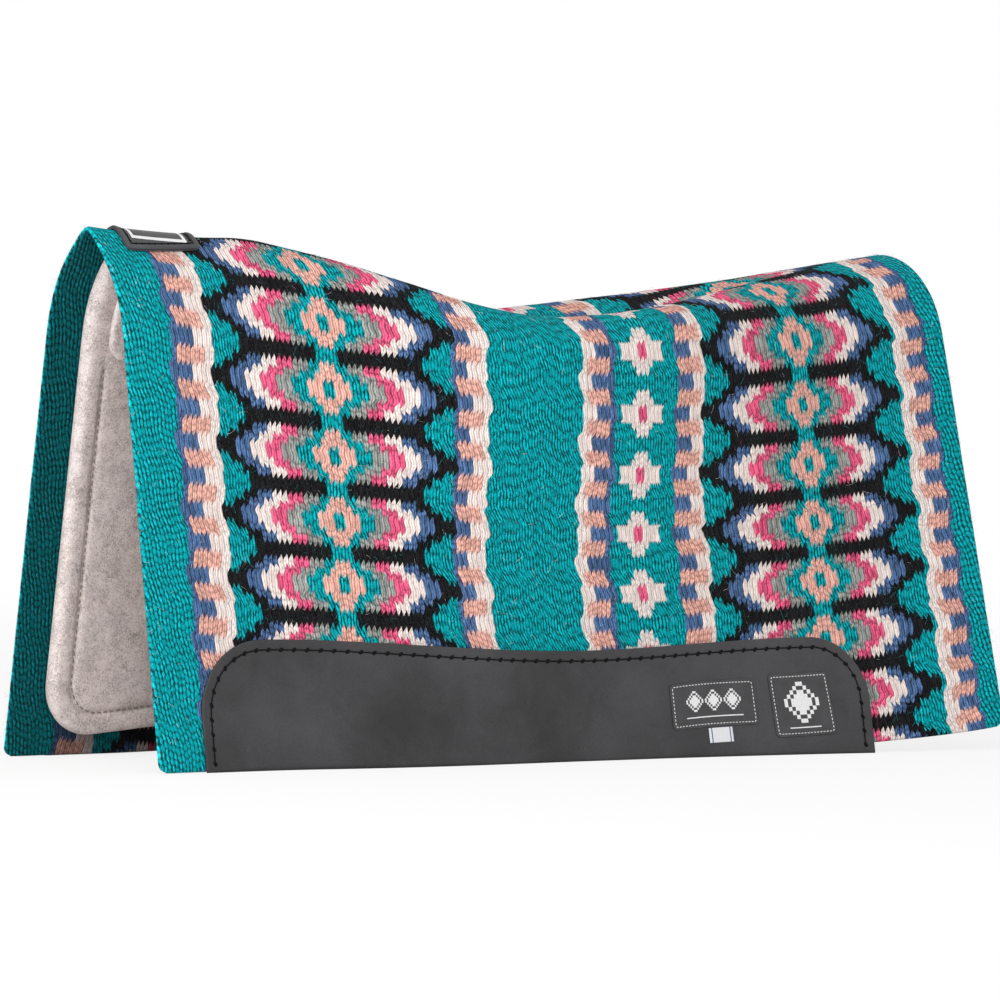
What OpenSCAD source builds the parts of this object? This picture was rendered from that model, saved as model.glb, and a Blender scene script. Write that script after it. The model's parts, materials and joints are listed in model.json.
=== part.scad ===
// Western contoured saddle pad: woven top, moulded felt liner, wear leathers and trim.
// +X runs from the wither end to the loin end, -Y is the horse's left, +Z is up.

/* [Outline] */
// Length along the spine
pad_length = 864; // [840:4:890]
// Height of the ridge at the wither end
ridge_front = 459; // [450:1:466]
// Extra rise of the ridge towards the wither end
wither_rise = 11; // [4:1:14]
// Height of the shoulders over the seat
ridge_mid = 382; // [376:1:390]
// Height of the ridge at the loin end
ridge_rear = 435; // [428:1:444]
// Depth of the spine valley between the shoulders
valley = 28; // [18:1:32]
// Half width of the seat between its two shoulders
seat_half = 86; // [78:1:92]
// Slope of the gable beside the spine at the wither end, in degrees
gable = 31; // [26:0.5:32]
// Crown radius at the wither end
crown_front = 127; // [118:1:134]
// Shoulder radius over the seat
crown_mid = 36; // [34:1:42]
// Crown radius at the loin end
crown_rear = 90; // [84:1:96]
// Splay of a flap from upright at the wither end, in degrees
splay_front = 9.4; // [8:0.2:11]
// Splay of a flap from upright over the seat, in degrees
splay_mid = 3.5; // [2.5:0.5:6]
// Splay of a flap from upright at the loin end, in degrees
splay_rear = 15.5; // [14:0.5:17]

/* [Woven top] */
// Thickness of the woven blanket
top_thick = 5; // [4:0.5:6]
// Height of the blanket hem at the wither end
hem_front = 3.5; // [2.5:0.5:5]
// Height of the blanket hem over the seat
hem_mid = 6; // [4:1:8]
// Height of the blanket hem at the loin end
hem_rear = 22; // [16:1:24]
// Radius of the lower corners of the blanket
hem_radius = 9; // [5:1:14]

/* [Felt] */
// Thickness of the felt liner
felt_thick = 15; // [12:0.5:16]
// Distance from the blanket end to the felt
felt_inset = 30; // [24:1:36]
// Distance from the floor to the felt, along the flap
felt_drop = 19; // [15:1:24]
// Radius of the lower corners of the felt
felt_radius = 48; // [40:1:56]
// Half width of the gullet between the felt halves
gullet = 22; // [21:0.5:26]
// Distance from the felt edge to its stitched channel
channel_inset = 20; // [16:1:24]
// Thickness of the felt bars beside the spine
bar_thick = 7; // [5:0.5:7.5]
// Distance from the blanket end to the bars
bar_inset = 49; // [44:1:60]
// Distance from the spine to the lower edge of a bar
bar_reach = 128; // [120:1:136]
// Radius of the corners of a bar
bar_radius = 16; // [12:1:20]

/* [Wear leathers] */
// Thickness of the leather
leather_thick = 2.5; // [2:0.1:3.2]
// Distance from the wither end of the blanket to the wear leather
leather_gap_front = 46; // [38:1:52]
// Distance from the loin end of the blanket to the wear leather
leather_gap_rear = 135; // [128:1:142]
// Height of the leather under the seat, from the floor up the flap
leather_up = 95.5; // [90:0.5:100]
// How much taller the leather is near the wither end
leather_rise = 16; // [10:1:20]
// How much taller the leather is near the loin end
leather_rise_rear = 7.5; // [4:0.5:10]
// Radius of its upper corner at the wither end
leather_radius_front = 52; // [44:1:58]
// Radius of its upper corner at the loin end
leather_radius_rear = 44; // [38:1:50]
// Distance from the leather edge to its stitching
leather_stitch = 8; // [7:0.5:12]

/* [Wither patch] */
// Distance from the wither end of the blanket to the patch
patch_gap = 26; // [20:1:34]
// Length of the patch
patch_length = 80; // [72:1:88]
// Half width of the patch at its wither end
patch_half = 30; // [26:1:36]
// Half width of the patch at its loin end
patch_half_rear = 22; // [16:1:26]
// Thickness of the patch
patch_thick = 1.8; // [1.5:0.1:2.2]
// Radius of the patch corners
patch_radius = 6; // [4:1:8]
// Width of the raised rim
rim_width = 5; // [4:0.5:6]
// Height of the raised rim over the patch
rim_height = 1.2; // [0.8:0.1:1.6]

/* [Labels] */
// Thickness of the labels
label_thick = 0.8; // [0.6:0.1:1.2]
// Distance from the loin end of the wear leather to the square label
square_gap = 37.5; // [34:0.5:44]
// Distance between the two labels
label_gap = 17; // [13:1:22]
// Length of the wide label
wide_length = 90; // [78:1:94]
// Height of the wide label
wide_height = 40; // [34:1:44]
// Length of the square label
square_length = 62; // [54:1:66]
// Height of the square label
square_height = 55; // [48:1:58]
// Middle of the wide label, along the flap up from the floor
label_up = 46.5; // [44:0.5:52]
// Middle of the square label, along the flap up from the floor
square_up = 43; // [40:0.5:48]
// Length of the side tag
tag_length = 25; // [20:1:30]
// Height of the side tag
tag_height = 13; // [10:1:14]
// Distance from the middle of the wide label to the middle of the tag
tag_shift = 7.5; // [-20:0.5:20]

/* [Stitching] */
// Width of the leather thread
thread_w = 1.4; // [1:0.1:1.8]
// Height of a thread
thread_h = 0.7; // [0.5:0.1:1]
// Width of the fine label thread
fine_w = 0.8; // [0.6:0.1:1]

/* [Hidden] */
fit_gap = 0.3;
felt_gap = 1;
leather_gap = 0.6;
$fn = 24;
half_len = pad_length / 2;
// stations along the pad between which the ridge, the section and the splay change
ridge_flat = -half_len * 0.667;
ridge_fade = half_len * 0.023;
ridge_climb = -half_len * 0.06;
ridge_top = half_len * 1.345;
rise_from = -half_len * 0.579;
front_full = -half_len * 0.88;
front_fade = half_len * 0.093;
seat_from = -half_len * 0.745;
rear_fade = half_len * 0.144;
rear_full = half_len * 0.845;
splay_flat = -half_len * 0.6;
splay_fade = half_len * 0.046;
flare_from = half_len * 0.14;
felt_out = -top_thick - felt_gap;
felt_in = felt_out - felt_thick;
bar_out = felt_in - felt_gap;
bar_in = bar_out - bar_thick;
leather_out = leather_gap + leather_thick;
patch_out = leather_gap + patch_thick;
label_out = leather_out + fit_gap + label_thick;
leather_from = leather_gap_front - half_len;
leather_to = half_len - leather_gap_rear;
patch_from = patch_gap - half_len;
patch_to = patch_from + patch_length;
square_x = leather_to - square_gap - square_length / 2;
wide_x = square_x - square_length / 2 - label_gap - wide_length / 2;
bar_lip = 8;
near = -1;
far = 1;

// ---- the moulded surface ----

function smooth(t) = let(c = max(0, min(1, t))) c * c * (3 - 2 * c);
function fore(x) = smooth((front_fade - x) / (front_fade - front_full));
function aft(x) = smooth((x - rear_fade) / (rear_full - rear_fade));
function blend3(x, a, b, c) = b + (a - b) * fore(x) + (c - b) * aft(x);
function climb(x) = smooth((x - ridge_climb) / (ridge_top - ridge_climb));
function ridge(x) = ridge_mid
    + (ridge_front - wither_rise - ridge_mid) * smooth((ridge_fade - x) / (ridge_fade - ridge_flat))
    + wither_rise * pow(max(0, (rise_from - x) / (rise_from + half_len)), 2)
    + (ridge_rear - ridge_mid) * climb(x) / climb(half_len);
function crown(x) = blend3(x, crown_front, crown_mid, crown_rear);
function slope0(x) = gable * fore(x);
function seat(x) = smooth((x - seat_from) / (front_fade - seat_from)) * (1 - aft(x));
function shoulder(x) = seat_half * seat(x);
function dip(x) = valley * seat(x);
function steep(x) = 90 - (splay_mid
    + (splay_front - splay_mid) * smooth((splay_fade - x) / (splay_fade - splay_flat))
    + (splay_rear - splay_mid) * smooth((x - flare_from) / (half_len - flare_from)));
// distance from the spine at which the crown ends and the flat flap begins
function flap_start(x) = shoulder(x) + crown(x) * (steep(x) - slope0(x)) * PI / 180;
// height at which the flap begins
function flap_z(x) = ridge(x) - crown(x) * (cos(slope0(x)) - cos(steep(x)));
// slope of the section at s from the spine
function slope(x, s) = s < shoulder(x)
    ? let(q = s / shoulder(x)) -atan(dip(x) * PI / 2 / shoulder(x) * sin(180 * q)
        + tan(slope0(x)) * q * (2 - 3 * q))
    : min(steep(x), slope0(x) + (s - shoulder(x)) / crown(x) * 180 / PI);
// half width and height of the outer face of the blanket at s from the spine
function face_y(x, s) = s < shoulder(x) ? s
    : shoulder(x) + crown(x) * (sin(slope(x, s)) - sin(slope0(x)))
    + max(0, s - flap_start(x)) * cos(steep(x));
function face_z(x, s) = s < shoulder(x)
    ? let(q = s / shoulder(x)) ridge(x) - dip(x) * (1 + cos(180 * q)) / 2
        + tan(slope0(x)) * shoulder(x) * q * q * (1 - q)
    : ridge(x) - crown(x) * (cos(slope0(x)) - cos(slope(x, s)))
    - max(0, s - flap_start(x)) * sin(steep(x));
// the point s from the spine (negative on the near side) and d outside the blanket's face
function at(x, s, d) = s == 0 ? [x, 0, face_z(x, 0) + d / cos(slope0(x) * (1 - seat(x)))]
    : let(a = abs(s), p = slope(x, a))
    [x, sign(s) * (face_y(x, a) + d * sin(p)), face_z(x, a) + d * cos(p)];
// distance from the spine at which the layer d is z above the floor
function reach(x, z, d) = flap_start(x) + (flap_z(x) + d * cos(steep(x)) - z) / sin(steep(x));

// ---- lists of stations ----

function steps(a, b, n) = [for (i = [1:n]) a + (b - a) * i / n];
// stations between a and b that every layer shares, so that layers never cross
pitch = pad_length / 36;
function shared(a, b) = [for (i = [-18:18]) let(x = i * pitch) if (x > a + 1 && x < b - 1) x];
// stations from a to b, close together inside the corner radii ra and rb
function stations(a, b, ra, rb, k) = concat([a],
    [for (i = [1:k]) a + ra * (1 - cos(90 * i / k))],
    shared(a + ra, b - rb),
    [for (i = [k:-1:1]) b - rb * (1 - cos(90 * i / k))], [b]);
// how far a corner of radius r cuts in at distance t from the end
function nip(t, r) = t >= r ? 0 : r - sqrt(max(0, r * r - (r - t) * (r - t)));

// ---- solids ----

// solid between the layers lower(x, s) and upper(x, s) over a grid, given its s values per x
module sheet(xs, row, lower, upper) {
    nx = len(xs);
    ns = len(row(xs[0]));
    n = nx * ns;
    grid = [for (x = xs) row(x)];
    points = concat(
        [for (i = [0:nx - 1]) for (s = grid[i]) at(xs[i], s, upper(xs[i], s))],
        [for (i = [0:nx - 1]) for (s = grid[i]) at(xs[i], s, lower(xs[i], s))]);
    // each quad is cut along the diagonal that starts nearer the spine, alike in every layer
    faces = concat(
        [for (i = [0:nx - 2]) for (j = [0:ns - 2])
            let(a = i * ns + j, b = a + ns, inward = abs(grid[0][j]) > abs(grid[0][j + 1]))
            each inward ? [[a, b, b + 1], [a, b + 1, a + 1]] : [[a, b, a + 1], [a + 1, b, b + 1]]],
        [for (i = [0:nx - 2]) for (j = [0:ns - 2])
            let(a = n + i * ns + j, b = a + ns, inward = abs(grid[0][j]) > abs(grid[0][j + 1]))
            each inward ? [[a, b + 1, b], [a, a + 1, b + 1]] : [[a, a + 1, b], [a + 1, b + 1, b]]],
        [for (i = [0:nx - 2]) let(a = i * ns)
            each [[a, n + a, a + ns], [a + ns, n + a, n + a + ns]]],
        [for (i = [0:nx - 2]) let(a = i * ns + ns - 1)
            each [[a, a + ns, n + a], [a + ns, n + a + ns, n + a]]],
        [for (j = [0:ns - 2]) each [[j, j + 1, n + j], [j + 1, n + j + 1, n + j]]],
        [for (j = [0:ns - 2]) let(a = (nx - 1) * ns + j)
            each [[a, n + a, a + 1], [a + 1, n + a, n + a + 1]]]);
    polyhedron(points = points, faces = faces, convexity = 6);
}

// band of width w along the path of [x, s] points, from layer d0 to layer d1
module band(path, w, d0, d1, closed = false) {
    n = len(path);
    sides = [for (i = [0:n - 1]) let(
        a = path[closed ? (i + n - 1) % n : max(0, i - 1)],
        b = path[closed ? (i + 1) % n : min(n - 1, i + 1)],
        t = (b - a) / norm(b - a), e = [-t[1], t[0]] * w / 2)
        [path[i] + e, path[i] - e]];
    points = [for (q = sides) each [
        at(q[0][0], q[0][1], d1), at(q[1][0], q[1][1], d1),
        at(q[1][0], q[1][1], d0), at(q[0][0], q[0][1], d0)]];
    last = closed ? n - 1 : n - 2;
    walls = [for (i = [0:last]) for (k = [0:3]) let(
        a = 4 * i + k, b = 4 * i + (k + 1) % 4,
        c = 4 * ((i + 1) % n) + k, d = 4 * ((i + 1) % n) + (k + 1) % 4)
        each [[a, b, c], [b, d, c]]];
    caps = closed ? [] : [[0, 2, 1], [0, 3, 2], [4 * n - 4, 4 * n - 3, 4 * n - 2],
        [4 * n - 4, 4 * n - 2, 4 * n - 1]];
    polyhedron(points = points, faces = concat(walls, caps), convexity = 6);
}

// the far side is the mirror image of the near side
module side(which) {
    if (which == near) children();
    else mirror([0, 1, 0]) children();
}

// ---- woven top ----

function hem_z(x) = hem_mid + (hem_front - hem_mid) * smooth(-x / half_len)
    + (hem_rear - hem_mid) * pow(max(0, x) / half_len, 3);
function hem(x) = reach(x, hem_z(x), 0) - nip(half_len - abs(x), hem_radius);
// s values from the spine down to the hem, close together over the crown
function half_row(x) = concat(steps(0, gullet, 3), steps(gullet, flap_start(x), 12),
    steps(flap_start(x), hem(x), 5));
function full_row(x) = let(r = half_row(x), n = len(r))
    concat([for (i = [1:n]) -r[n - i]], [0], r);
xs_top = stations(-half_len, half_len, hem_radius, hem_radius, 3);

module woven_top() {
    color([0, 0.58, 0.56]) sheet(xs_top, function (x) full_row(x),
        function (x, s) -top_thick, function (x, s) 0);
}

// ---- felt ----

felt_x = half_len - felt_inset;
function felt_low(x) = reach(x, felt_drop, 0) - nip(felt_x - abs(x), felt_radius);
// the felt thins to a rounded edge
function felt_edge(e) = lookup(e, [[0, 0.55], [4, 0.85], [11, 1], [40, 1]]);
function felt_depth(x, s) = felt_out
    - felt_thick * min(felt_edge(felt_x - abs(x)), felt_edge(felt_low(x) - abs(s)));
function felt_row(x) = [for (s = concat([gullet], steps(gullet, flap_start(x), 12),
    steps(flap_start(x), felt_low(x) - 11, 4), [felt_low(x) - 4, felt_low(x)])) -s];
felt_ends = [0, 4, 11, 19, 31, felt_radius];
xs_felt = concat([for (e = felt_ends) e - felt_x],
    shared(felt_radius - felt_x, felt_x - felt_radius),
    [for (i = [len(felt_ends) - 1:-1:0]) felt_x - felt_ends[i]]);

module felt_liner(which) {
    color([0.71, 0.67, 0.65]) side(which) sheet(xs_felt, function (x) felt_row(x),
        function (x, s) felt_out, function (x, s) felt_depth(x, s));
}

bar_x = half_len - bar_inset;
function bar_low(x) = max(bar_reach, flap_start(x) + bar_lip) - nip(bar_x - abs(x), bar_radius);
function bar_row(x) = let(r = steps(gullet, flap_start(x), 12))
    [for (s = concat(r, steps(flap_start(x), bar_low(x), 1))) -s];
xs_bar = stations(-bar_x, bar_x, bar_radius, bar_radius, 4);

module felt_bar(which) {
    color([0.75, 0.71, 0.68]) side(which) sheet(xs_bar, function (x) bar_row(x),
        function (x, s) bar_out, function (x, s) bar_in);
}

// channel line: down the wither end, round the corner, along the hem and up the loin end
channel_x = felt_x - channel_inset;
channel_r = felt_radius - channel_inset;
function channel_low(x) = reach(x, felt_drop, 0) - channel_inset;
channel_path = let(x0 = -channel_x, r = channel_r, top = bar_reach + bar_lip) concat(
    [for (s = concat([top], steps(top, channel_low(x0) - r, 6))) [x0, -s]],
    [for (a = [15:15:75]) [x0 + r * (1 - cos(a)), -(channel_low(x0 + r) - r * (1 - sin(a)))]],
    [for (x = concat([x0 + r], shared(x0 + r, -x0 - r), [-x0 - r])) [x, -channel_low(x)]],
    [for (a = [15:15:75]) [-x0 - r * (1 - sin(a)), -(channel_low(-x0 - r) - r * (1 - cos(a)))]],
    [for (s = steps(channel_low(-x0) - r + 0.01, top, 6)) [-x0, -s]]);

module liner_stitching(which) {
    color([0.45, 0.43, 0.42]) side(which)
        band(channel_path, thread_w, felt_in - fit_gap - thread_h, felt_in - fit_gap);
}

// ---- wear leathers ----

function leather_edge(x) = reach(x, 0, 0) - leather_up - leather_rise * smooth(x / leather_from * 1.2)
    - leather_rise_rear * smooth(x / leather_to * 1.2);
function leather_high(x) = leather_edge(x) + nip(x - leather_from, leather_radius_front)
    + nip(leather_to - x, leather_radius_rear);
xs_leather = stations(leather_from, leather_to, leather_radius_front, leather_radius_rear, 7);
// the cut lower edge is level, so that the pad stands on it
function leather_low(x, d) = reach(x, 0, d);
module leather_sheet(lower, upper) {
    n = 4;
    nx = len(xs_leather);
    rows = [for (x = xs_leather) for (d = [upper, lower]) let(a = leather_high(x))
        [for (j = [0:n]) at(x, -(a + (leather_low(x, d) - a) * j / n), d)]];
    ns = n + 1;
    points = [for (r = rows) each r];
    faces = concat(
        [for (i = [0:nx - 2]) for (j = [0:n - 1]) let(a = 2 * i * ns + j, b = a + 2 * ns)
            each [[a, a + 1, b], [a + 1, b + 1, b]]],
        [for (i = [0:nx - 2]) for (j = [0:n - 1]) let(a = (2 * i + 1) * ns + j, b = a + 2 * ns)
            each [[a, b, a + 1], [a + 1, b, b + 1]]],
        [for (i = [0:nx - 2]) let(a = 2 * i * ns, b = a + 2 * ns, c = a + ns, d = b + ns)
            each [[a, b, c], [b, d, c]]],
        [for (i = [0:nx - 2]) let(a = 2 * i * ns + n, b = a + 2 * ns, c = a + ns, d = b + ns)
            each [[a, c, b], [b, c, d]]],
        [for (j = [0:n - 1]) let(c = ns + j) each [[j, c, j + 1], [j + 1, c, c + 1]]],
        [for (j = [0:n - 1]) let(a = 2 * (nx - 1) * ns + j, c = a + ns)
            each [[a, a + 1, c], [a + 1, c + 1, c]]]);
    polyhedron(points = points, faces = faces, convexity = 6);
}

module wear_leather(which) {
    color([0.22, 0.22, 0.23]) side(which) leather_sheet(leather_gap, leather_out);
}

leather_path = let(x0 = leather_from + leather_stitch, x1 = leather_to - leather_stitch,
    ra = leather_radius_front - leather_stitch, rb = leather_radius_rear - leather_stitch,
    q = leather_stitch) concat(
    [for (s = steps(reach(x0, 6, 0), leather_edge(x0) + q + ra, 2)) [x0, -s]],
    [for (a = [12:12:84]) [x0 + ra * (1 - cos(a)), -(leather_edge(x0) + q + ra * (1 - sin(a)))]],
    [for (x = concat([x0 + ra], shared(x0 + ra, x1 - rb), [x1 - rb]))
        [x, -(leather_edge(x) + q)]],
    [for (a = [12:12:84]) [x1 - rb * (1 - sin(a)), -(leather_edge(x1) + q + rb * (1 - cos(a)))]],
    [for (s = steps(leather_edge(x1) + q + rb, reach(x1, 6, 0), 2)) [x1, -s]]);

module wear_stitching(which) {
    color([0.08, 0.08, 0.08]) side(which)
        band(leather_path, thread_w, leather_out + 0.1, leather_out + 0.1 + thread_h);
}

// ---- wither patch ----

function patch_wide(x) = patch_half + (patch_half_rear - patch_half) * (x - patch_from)
    / (patch_to - patch_from) - nip(x - patch_from, patch_radius) - nip(patch_to - x, patch_radius);
xs_patch = stations(patch_from, patch_to, patch_radius, patch_radius, 3);

module wither_patch() {
    color([0.25, 0.25, 0.26]) sheet(xs_patch,
        function (x) [for (k = [-6:6]) patch_wide(x) * k / 6],
        function (x, s) leather_gap, function (x, s) patch_out);
}

// the patch outline moved in by q, as a closed path with a station on the spine at each end
function patch_path(q) = let(r = max(1, patch_radius - q),
    x0 = patch_from + q, x1 = patch_to - q,
    w = function (x) patch_half + (patch_half_rear - patch_half) * (x - patch_from)
        / (patch_to - patch_from) - q,
    half = concat(
        [for (k = [1:3]) [x0, (w(x0 + r) - r) * k / 3]],
        [for (a = [30:30:90]) [x0 + r * (1 - cos(a)), w(x0 + r) - r * (1 - sin(a))]],
        [for (x = concat(shared(x0 + r, x1 - r), [x1 - r])) [x, w(x)]],
        [for (a = [30:30:90]) [x1 - r * (1 - sin(a)), w(x1 - r) - r * (1 - cos(a))]],
        [for (k = [2:-1:1]) [x1, (w(x1 - r) - r) * k / 3]]),
    n = len(half))
    concat([[x0, 0]], half, [[x1, 0]], [for (i = [1:n]) [half[n - i][0], -half[n - i][1]]]);

module wither_rim() {
    color([0.33, 0.33, 0.34]) band(patch_path(rim_width / 2 + 0.4), rim_width,
        patch_out + fit_gap, patch_out + fit_gap + rim_height, closed = true);
}

module wither_stitching() {
    color([0.08, 0.08, 0.08]) band(patch_path(rim_width + 2.4), thread_w,
        patch_out + fit_gap, patch_out + fit_gap + thread_h, closed = true);
}

// ---- labels ----

function floor_s(x, up) = reach(x, 0, 0) - up;
module label(x0, length, up0, height) {
    sheet(concat([x0 - length / 2], steps(x0 - length / 2, x0 + length / 2, 4)),
        function (x) [for (k = [-1:1]) -(floor_s(x, up0) + height * k / 2)],
        function (x, s) leather_out + fit_gap, function (x, s) label_out);
}
module label_thread(x0, length, up0, height) {
    q = 3;
    l = length / 2 - q;
    h = height / 2 - q;
    band(concat([for (x = steps(x0 - l, x0 + l, 5)) [x, -(floor_s(x, up0) - h)]],
        [for (x = steps(x0 + l, x0 - l, 5)) [x, -(floor_s(x, up0) + h)]]),
        fine_w, label_out + 0.2, label_out + 0.2 + thread_h / 2, closed = true);
}

module wide_label(which) {
    color([0.12, 0.12, 0.13]) side(which) label(wide_x, wide_length, label_up, wide_height);
}
module square_label(which) {
    color([0.12, 0.12, 0.13]) side(which) label(square_x, square_length, square_up, square_height);
}
module side_tag(which) {
    color([0.93, 0.93, 0.93]) side(which)
        label(wide_x + tag_shift, tag_length, label_up - wide_height / 2 - tag_height / 2 - 1, tag_height);
}
module label_stitching(which) {
    color([0.9, 0.9, 0.9]) side(which) {
        label_thread(wide_x, wide_length, label_up, wide_height);
        label_thread(square_x, square_length, square_up, square_height);
    }
}

// ---- assembly ----

woven_top();
felt_liner(near);  // felt_liner_left
felt_liner(far);  // felt_liner_right
felt_bar(near);  // felt_bar_left
felt_bar(far);  // felt_bar_right
liner_stitching(near);  // liner_stitching_left
liner_stitching(far);  // liner_stitching_right
wear_leather(near);  // wear_leather_left
wear_leather(far);  // wear_leather_right
wear_stitching(near);  // wear_stitching_left
wear_stitching(far);  // wear_stitching_right
wither_patch();
wither_rim();
wither_stitching();
wide_label(near);  // wide_label_left
wide_label(far);  // wide_label_right
square_label(near);  // square_label_left
square_label(far);  // square_label_right
side_tag(near);  // side_tag_left
side_tag(far);  // side_tag_right
label_stitching(near);  // label_stitching_left
label_stitching(far);  // label_stitching_right
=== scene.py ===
import json
import math

import bpy
import numpy as np
from bpy.props import FloatProperty, FloatVectorProperty, IntProperty, PointerProperty
from mathutils import Matrix, Vector

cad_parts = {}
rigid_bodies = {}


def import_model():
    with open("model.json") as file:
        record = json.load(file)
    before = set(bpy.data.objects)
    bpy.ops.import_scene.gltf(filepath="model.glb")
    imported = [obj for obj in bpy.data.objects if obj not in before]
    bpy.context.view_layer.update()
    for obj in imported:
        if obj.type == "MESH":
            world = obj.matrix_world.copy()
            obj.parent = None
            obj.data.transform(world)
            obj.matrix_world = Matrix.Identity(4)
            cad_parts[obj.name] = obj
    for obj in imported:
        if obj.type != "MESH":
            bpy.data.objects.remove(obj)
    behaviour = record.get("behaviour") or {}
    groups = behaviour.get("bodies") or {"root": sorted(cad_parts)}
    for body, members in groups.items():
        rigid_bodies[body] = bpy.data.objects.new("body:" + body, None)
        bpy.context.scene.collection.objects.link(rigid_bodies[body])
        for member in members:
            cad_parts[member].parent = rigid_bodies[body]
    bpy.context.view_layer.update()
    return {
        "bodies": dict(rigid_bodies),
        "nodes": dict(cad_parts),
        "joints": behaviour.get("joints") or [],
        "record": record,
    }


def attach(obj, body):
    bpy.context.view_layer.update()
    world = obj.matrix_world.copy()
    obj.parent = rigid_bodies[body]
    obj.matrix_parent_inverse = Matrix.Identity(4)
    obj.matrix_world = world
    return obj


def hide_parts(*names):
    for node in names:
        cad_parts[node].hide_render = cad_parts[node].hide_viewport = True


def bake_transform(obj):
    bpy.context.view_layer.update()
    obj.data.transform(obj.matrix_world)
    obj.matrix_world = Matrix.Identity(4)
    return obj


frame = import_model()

bl_info = {
    "name": "Contoured Saddle Pad",
    "version": (1, 0, 0),
    "blender": (4, 5, 0),
    "location": "View3D > Sidebar > Saddle Pad",
    "description": "Builds a contoured saddle pad: woven wool top, felt liner, wear leathers, labels",
    "category": "Add Mesh",
}

MM = 0.001
NEAR, FAR = -1, 1
BODY = {NEAR: "left_half", FAR: "right_half"}
WORD = {NEAR: "left", FAR: "right"}


# ---------------------------------------------------------------- colours

def linear(hex_colour):
    """An sRGB hex colour such as 'ff8800' as linear red, green and blue, with alpha 1."""
    c = np.array([int(hex_colour[i:i + 2], 16) for i in (0, 2, 4)]) / 255
    c = np.where(c <= 0.04045, c / 12.92, ((c + 0.055) / 1.055) ** 2.4)
    return (*c.tolist(), 1.0)


def length(name, description, mm, low=0.0, high=2000.0):
    """A length property in metres, its default given in millimetres."""
    return FloatProperty(name=name, description=description, default=mm * MM, min=low * MM,
                         max=high * MM, unit="LENGTH", subtype="DISTANCE", precision=4)


def colour(name, description, hex_colour):
    """A colour property, its default given as an sRGB hex value."""
    return FloatVectorProperty(name=name, description=description, subtype="COLOR", size=4,
                               min=0.0, max=1.0, default=linear(hex_colour))


# ---------------------------------------------------------------- sizes and colours

class PadForm(bpy.types.PropertyGroup):
    """The shape that the blanket's outer face follows."""
    half: length("Half length", "Half the length along the spine", 432)
    ridge_front: length("Ridge, wither end", "Height of the ridge at the wither end", 459)
    wither_rise: length("Wither rise", "Last rise of the ridge towards the wither end", 11)
    ridge_mid: length("Ridge, seat", "Height of the ridge over the seat", 382)
    ridge_rear: length("Ridge, loin end", "Height of the ridge at the loin end", 435)
    valley: length("Valley", "Depth of the dip along the spine in the seat", 28)
    seat_half: length("Seat half width", "Half width of the seat between its shoulders", 86)
    gable: FloatProperty(name="Gable", description="Slope beside the ridge at the wither end",
                         default=math.radians(31), subtype="ANGLE")
    crown_front: length("Crown, wither end", "Radius of the crown at the wither end", 127)
    crown_mid: length("Crown, seat", "Radius of the crown beside the seat", 36)
    crown_rear: length("Crown, loin end", "Radius of the crown at the loin end", 90)
    splay_front: FloatProperty(name="Splay, wither end", description="Lean of the flap at the wither end",
                               default=math.radians(9.4), subtype="ANGLE")
    splay_mid: FloatProperty(name="Splay, seat", description="Lean of the flap under the seat",
                             default=math.radians(3.5), subtype="ANGLE")
    splay_rear: FloatProperty(name="Splay, loin end", description="Lean of the flap at the loin end",
                              default=math.radians(15.5), subtype="ANGLE")
    thick: length("Blanket thickness", "Thickness of the woven top", 5)
    hem_front: length("Hem, wither end", "Height of the blanket hem at the wither end", 1)
    hem_mid: length("Hem, seat", "Height of the blanket hem under the seat", 3)
    hem_rear: length("Hem, loin end", "Height of the blanket hem at the loin end", 22)
    hem_corner: length("Hem corner", "Radius of the lower corners of the blanket", 9)


class PadWeave(bpy.types.PropertyGroup):
    """Yarns of the woven wool top."""
    pitch: length("Yarn pitch", "Distance between neighbouring stitches of the weave", 4.75)
    teal: colour("Teal", "Ground yarn", "00a6af")
    black: colour("Black", "Yarn round the eye figures", "1a191b")
    blue: colour("Blue", "Slate blue yarn", "4f6c98")
    cream: colour("Cream", "Undyed yarn", "f9e8e2")
    pink: colour("Pink", "Bright pink yarn", "ee5f88")
    peach: colour("Peach", "Peach yarn", "f0b3a4")
    grey: colour("Grey", "Grey yarn", "9a9c98")
    fibres: IntProperty(name="Stray fibres", description="How many loose fibres stand out of the wool",
                        default=7500, min=0, max=20000)


class PadFelt(bpy.types.PropertyGroup):
    """Felt liner halves and the bars beside the spine."""
    gap: length("Gap", "Room between blanket and felt", 1)
    thick: length("Liner thickness", "Thickness of the felt liner", 15)
    inset: length("Inset", "Distance from the blanket's end to the felt", 30)
    drop: length("Drop", "Distance from the floor to the felt along the flap", 19)
    arch: length("Arch", "How much the liner's lower edge rises between its corners", 8)
    corner: length("Corner", "Radius of the liner's lower corners", 48)
    gullet: length("Gullet", "Half width of the gap between the felt halves", 22)
    channel: length("Channel", "Distance from the liner's edge to its stitched channel", 20)
    bar_thick: length("Bar thickness", "Thickness of the felt bars", 7)
    bar_inset: length("Bar inset", "Distance from the blanket's end to a bar", 49)
    bar_reach: length("Bar reach", "Distance from the spine to a bar's lower edge", 128)
    bar_corner: length("Bar corner", "Radius of a bar's corners", 16)
    light: colour("Light", "Pale wool in the felt", "fff2f0")
    dark: colour("Dark", "Darker wool in the felt", "80706a")
    thread: colour("Thread", "Thread of the channel", "8f8378")


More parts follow.
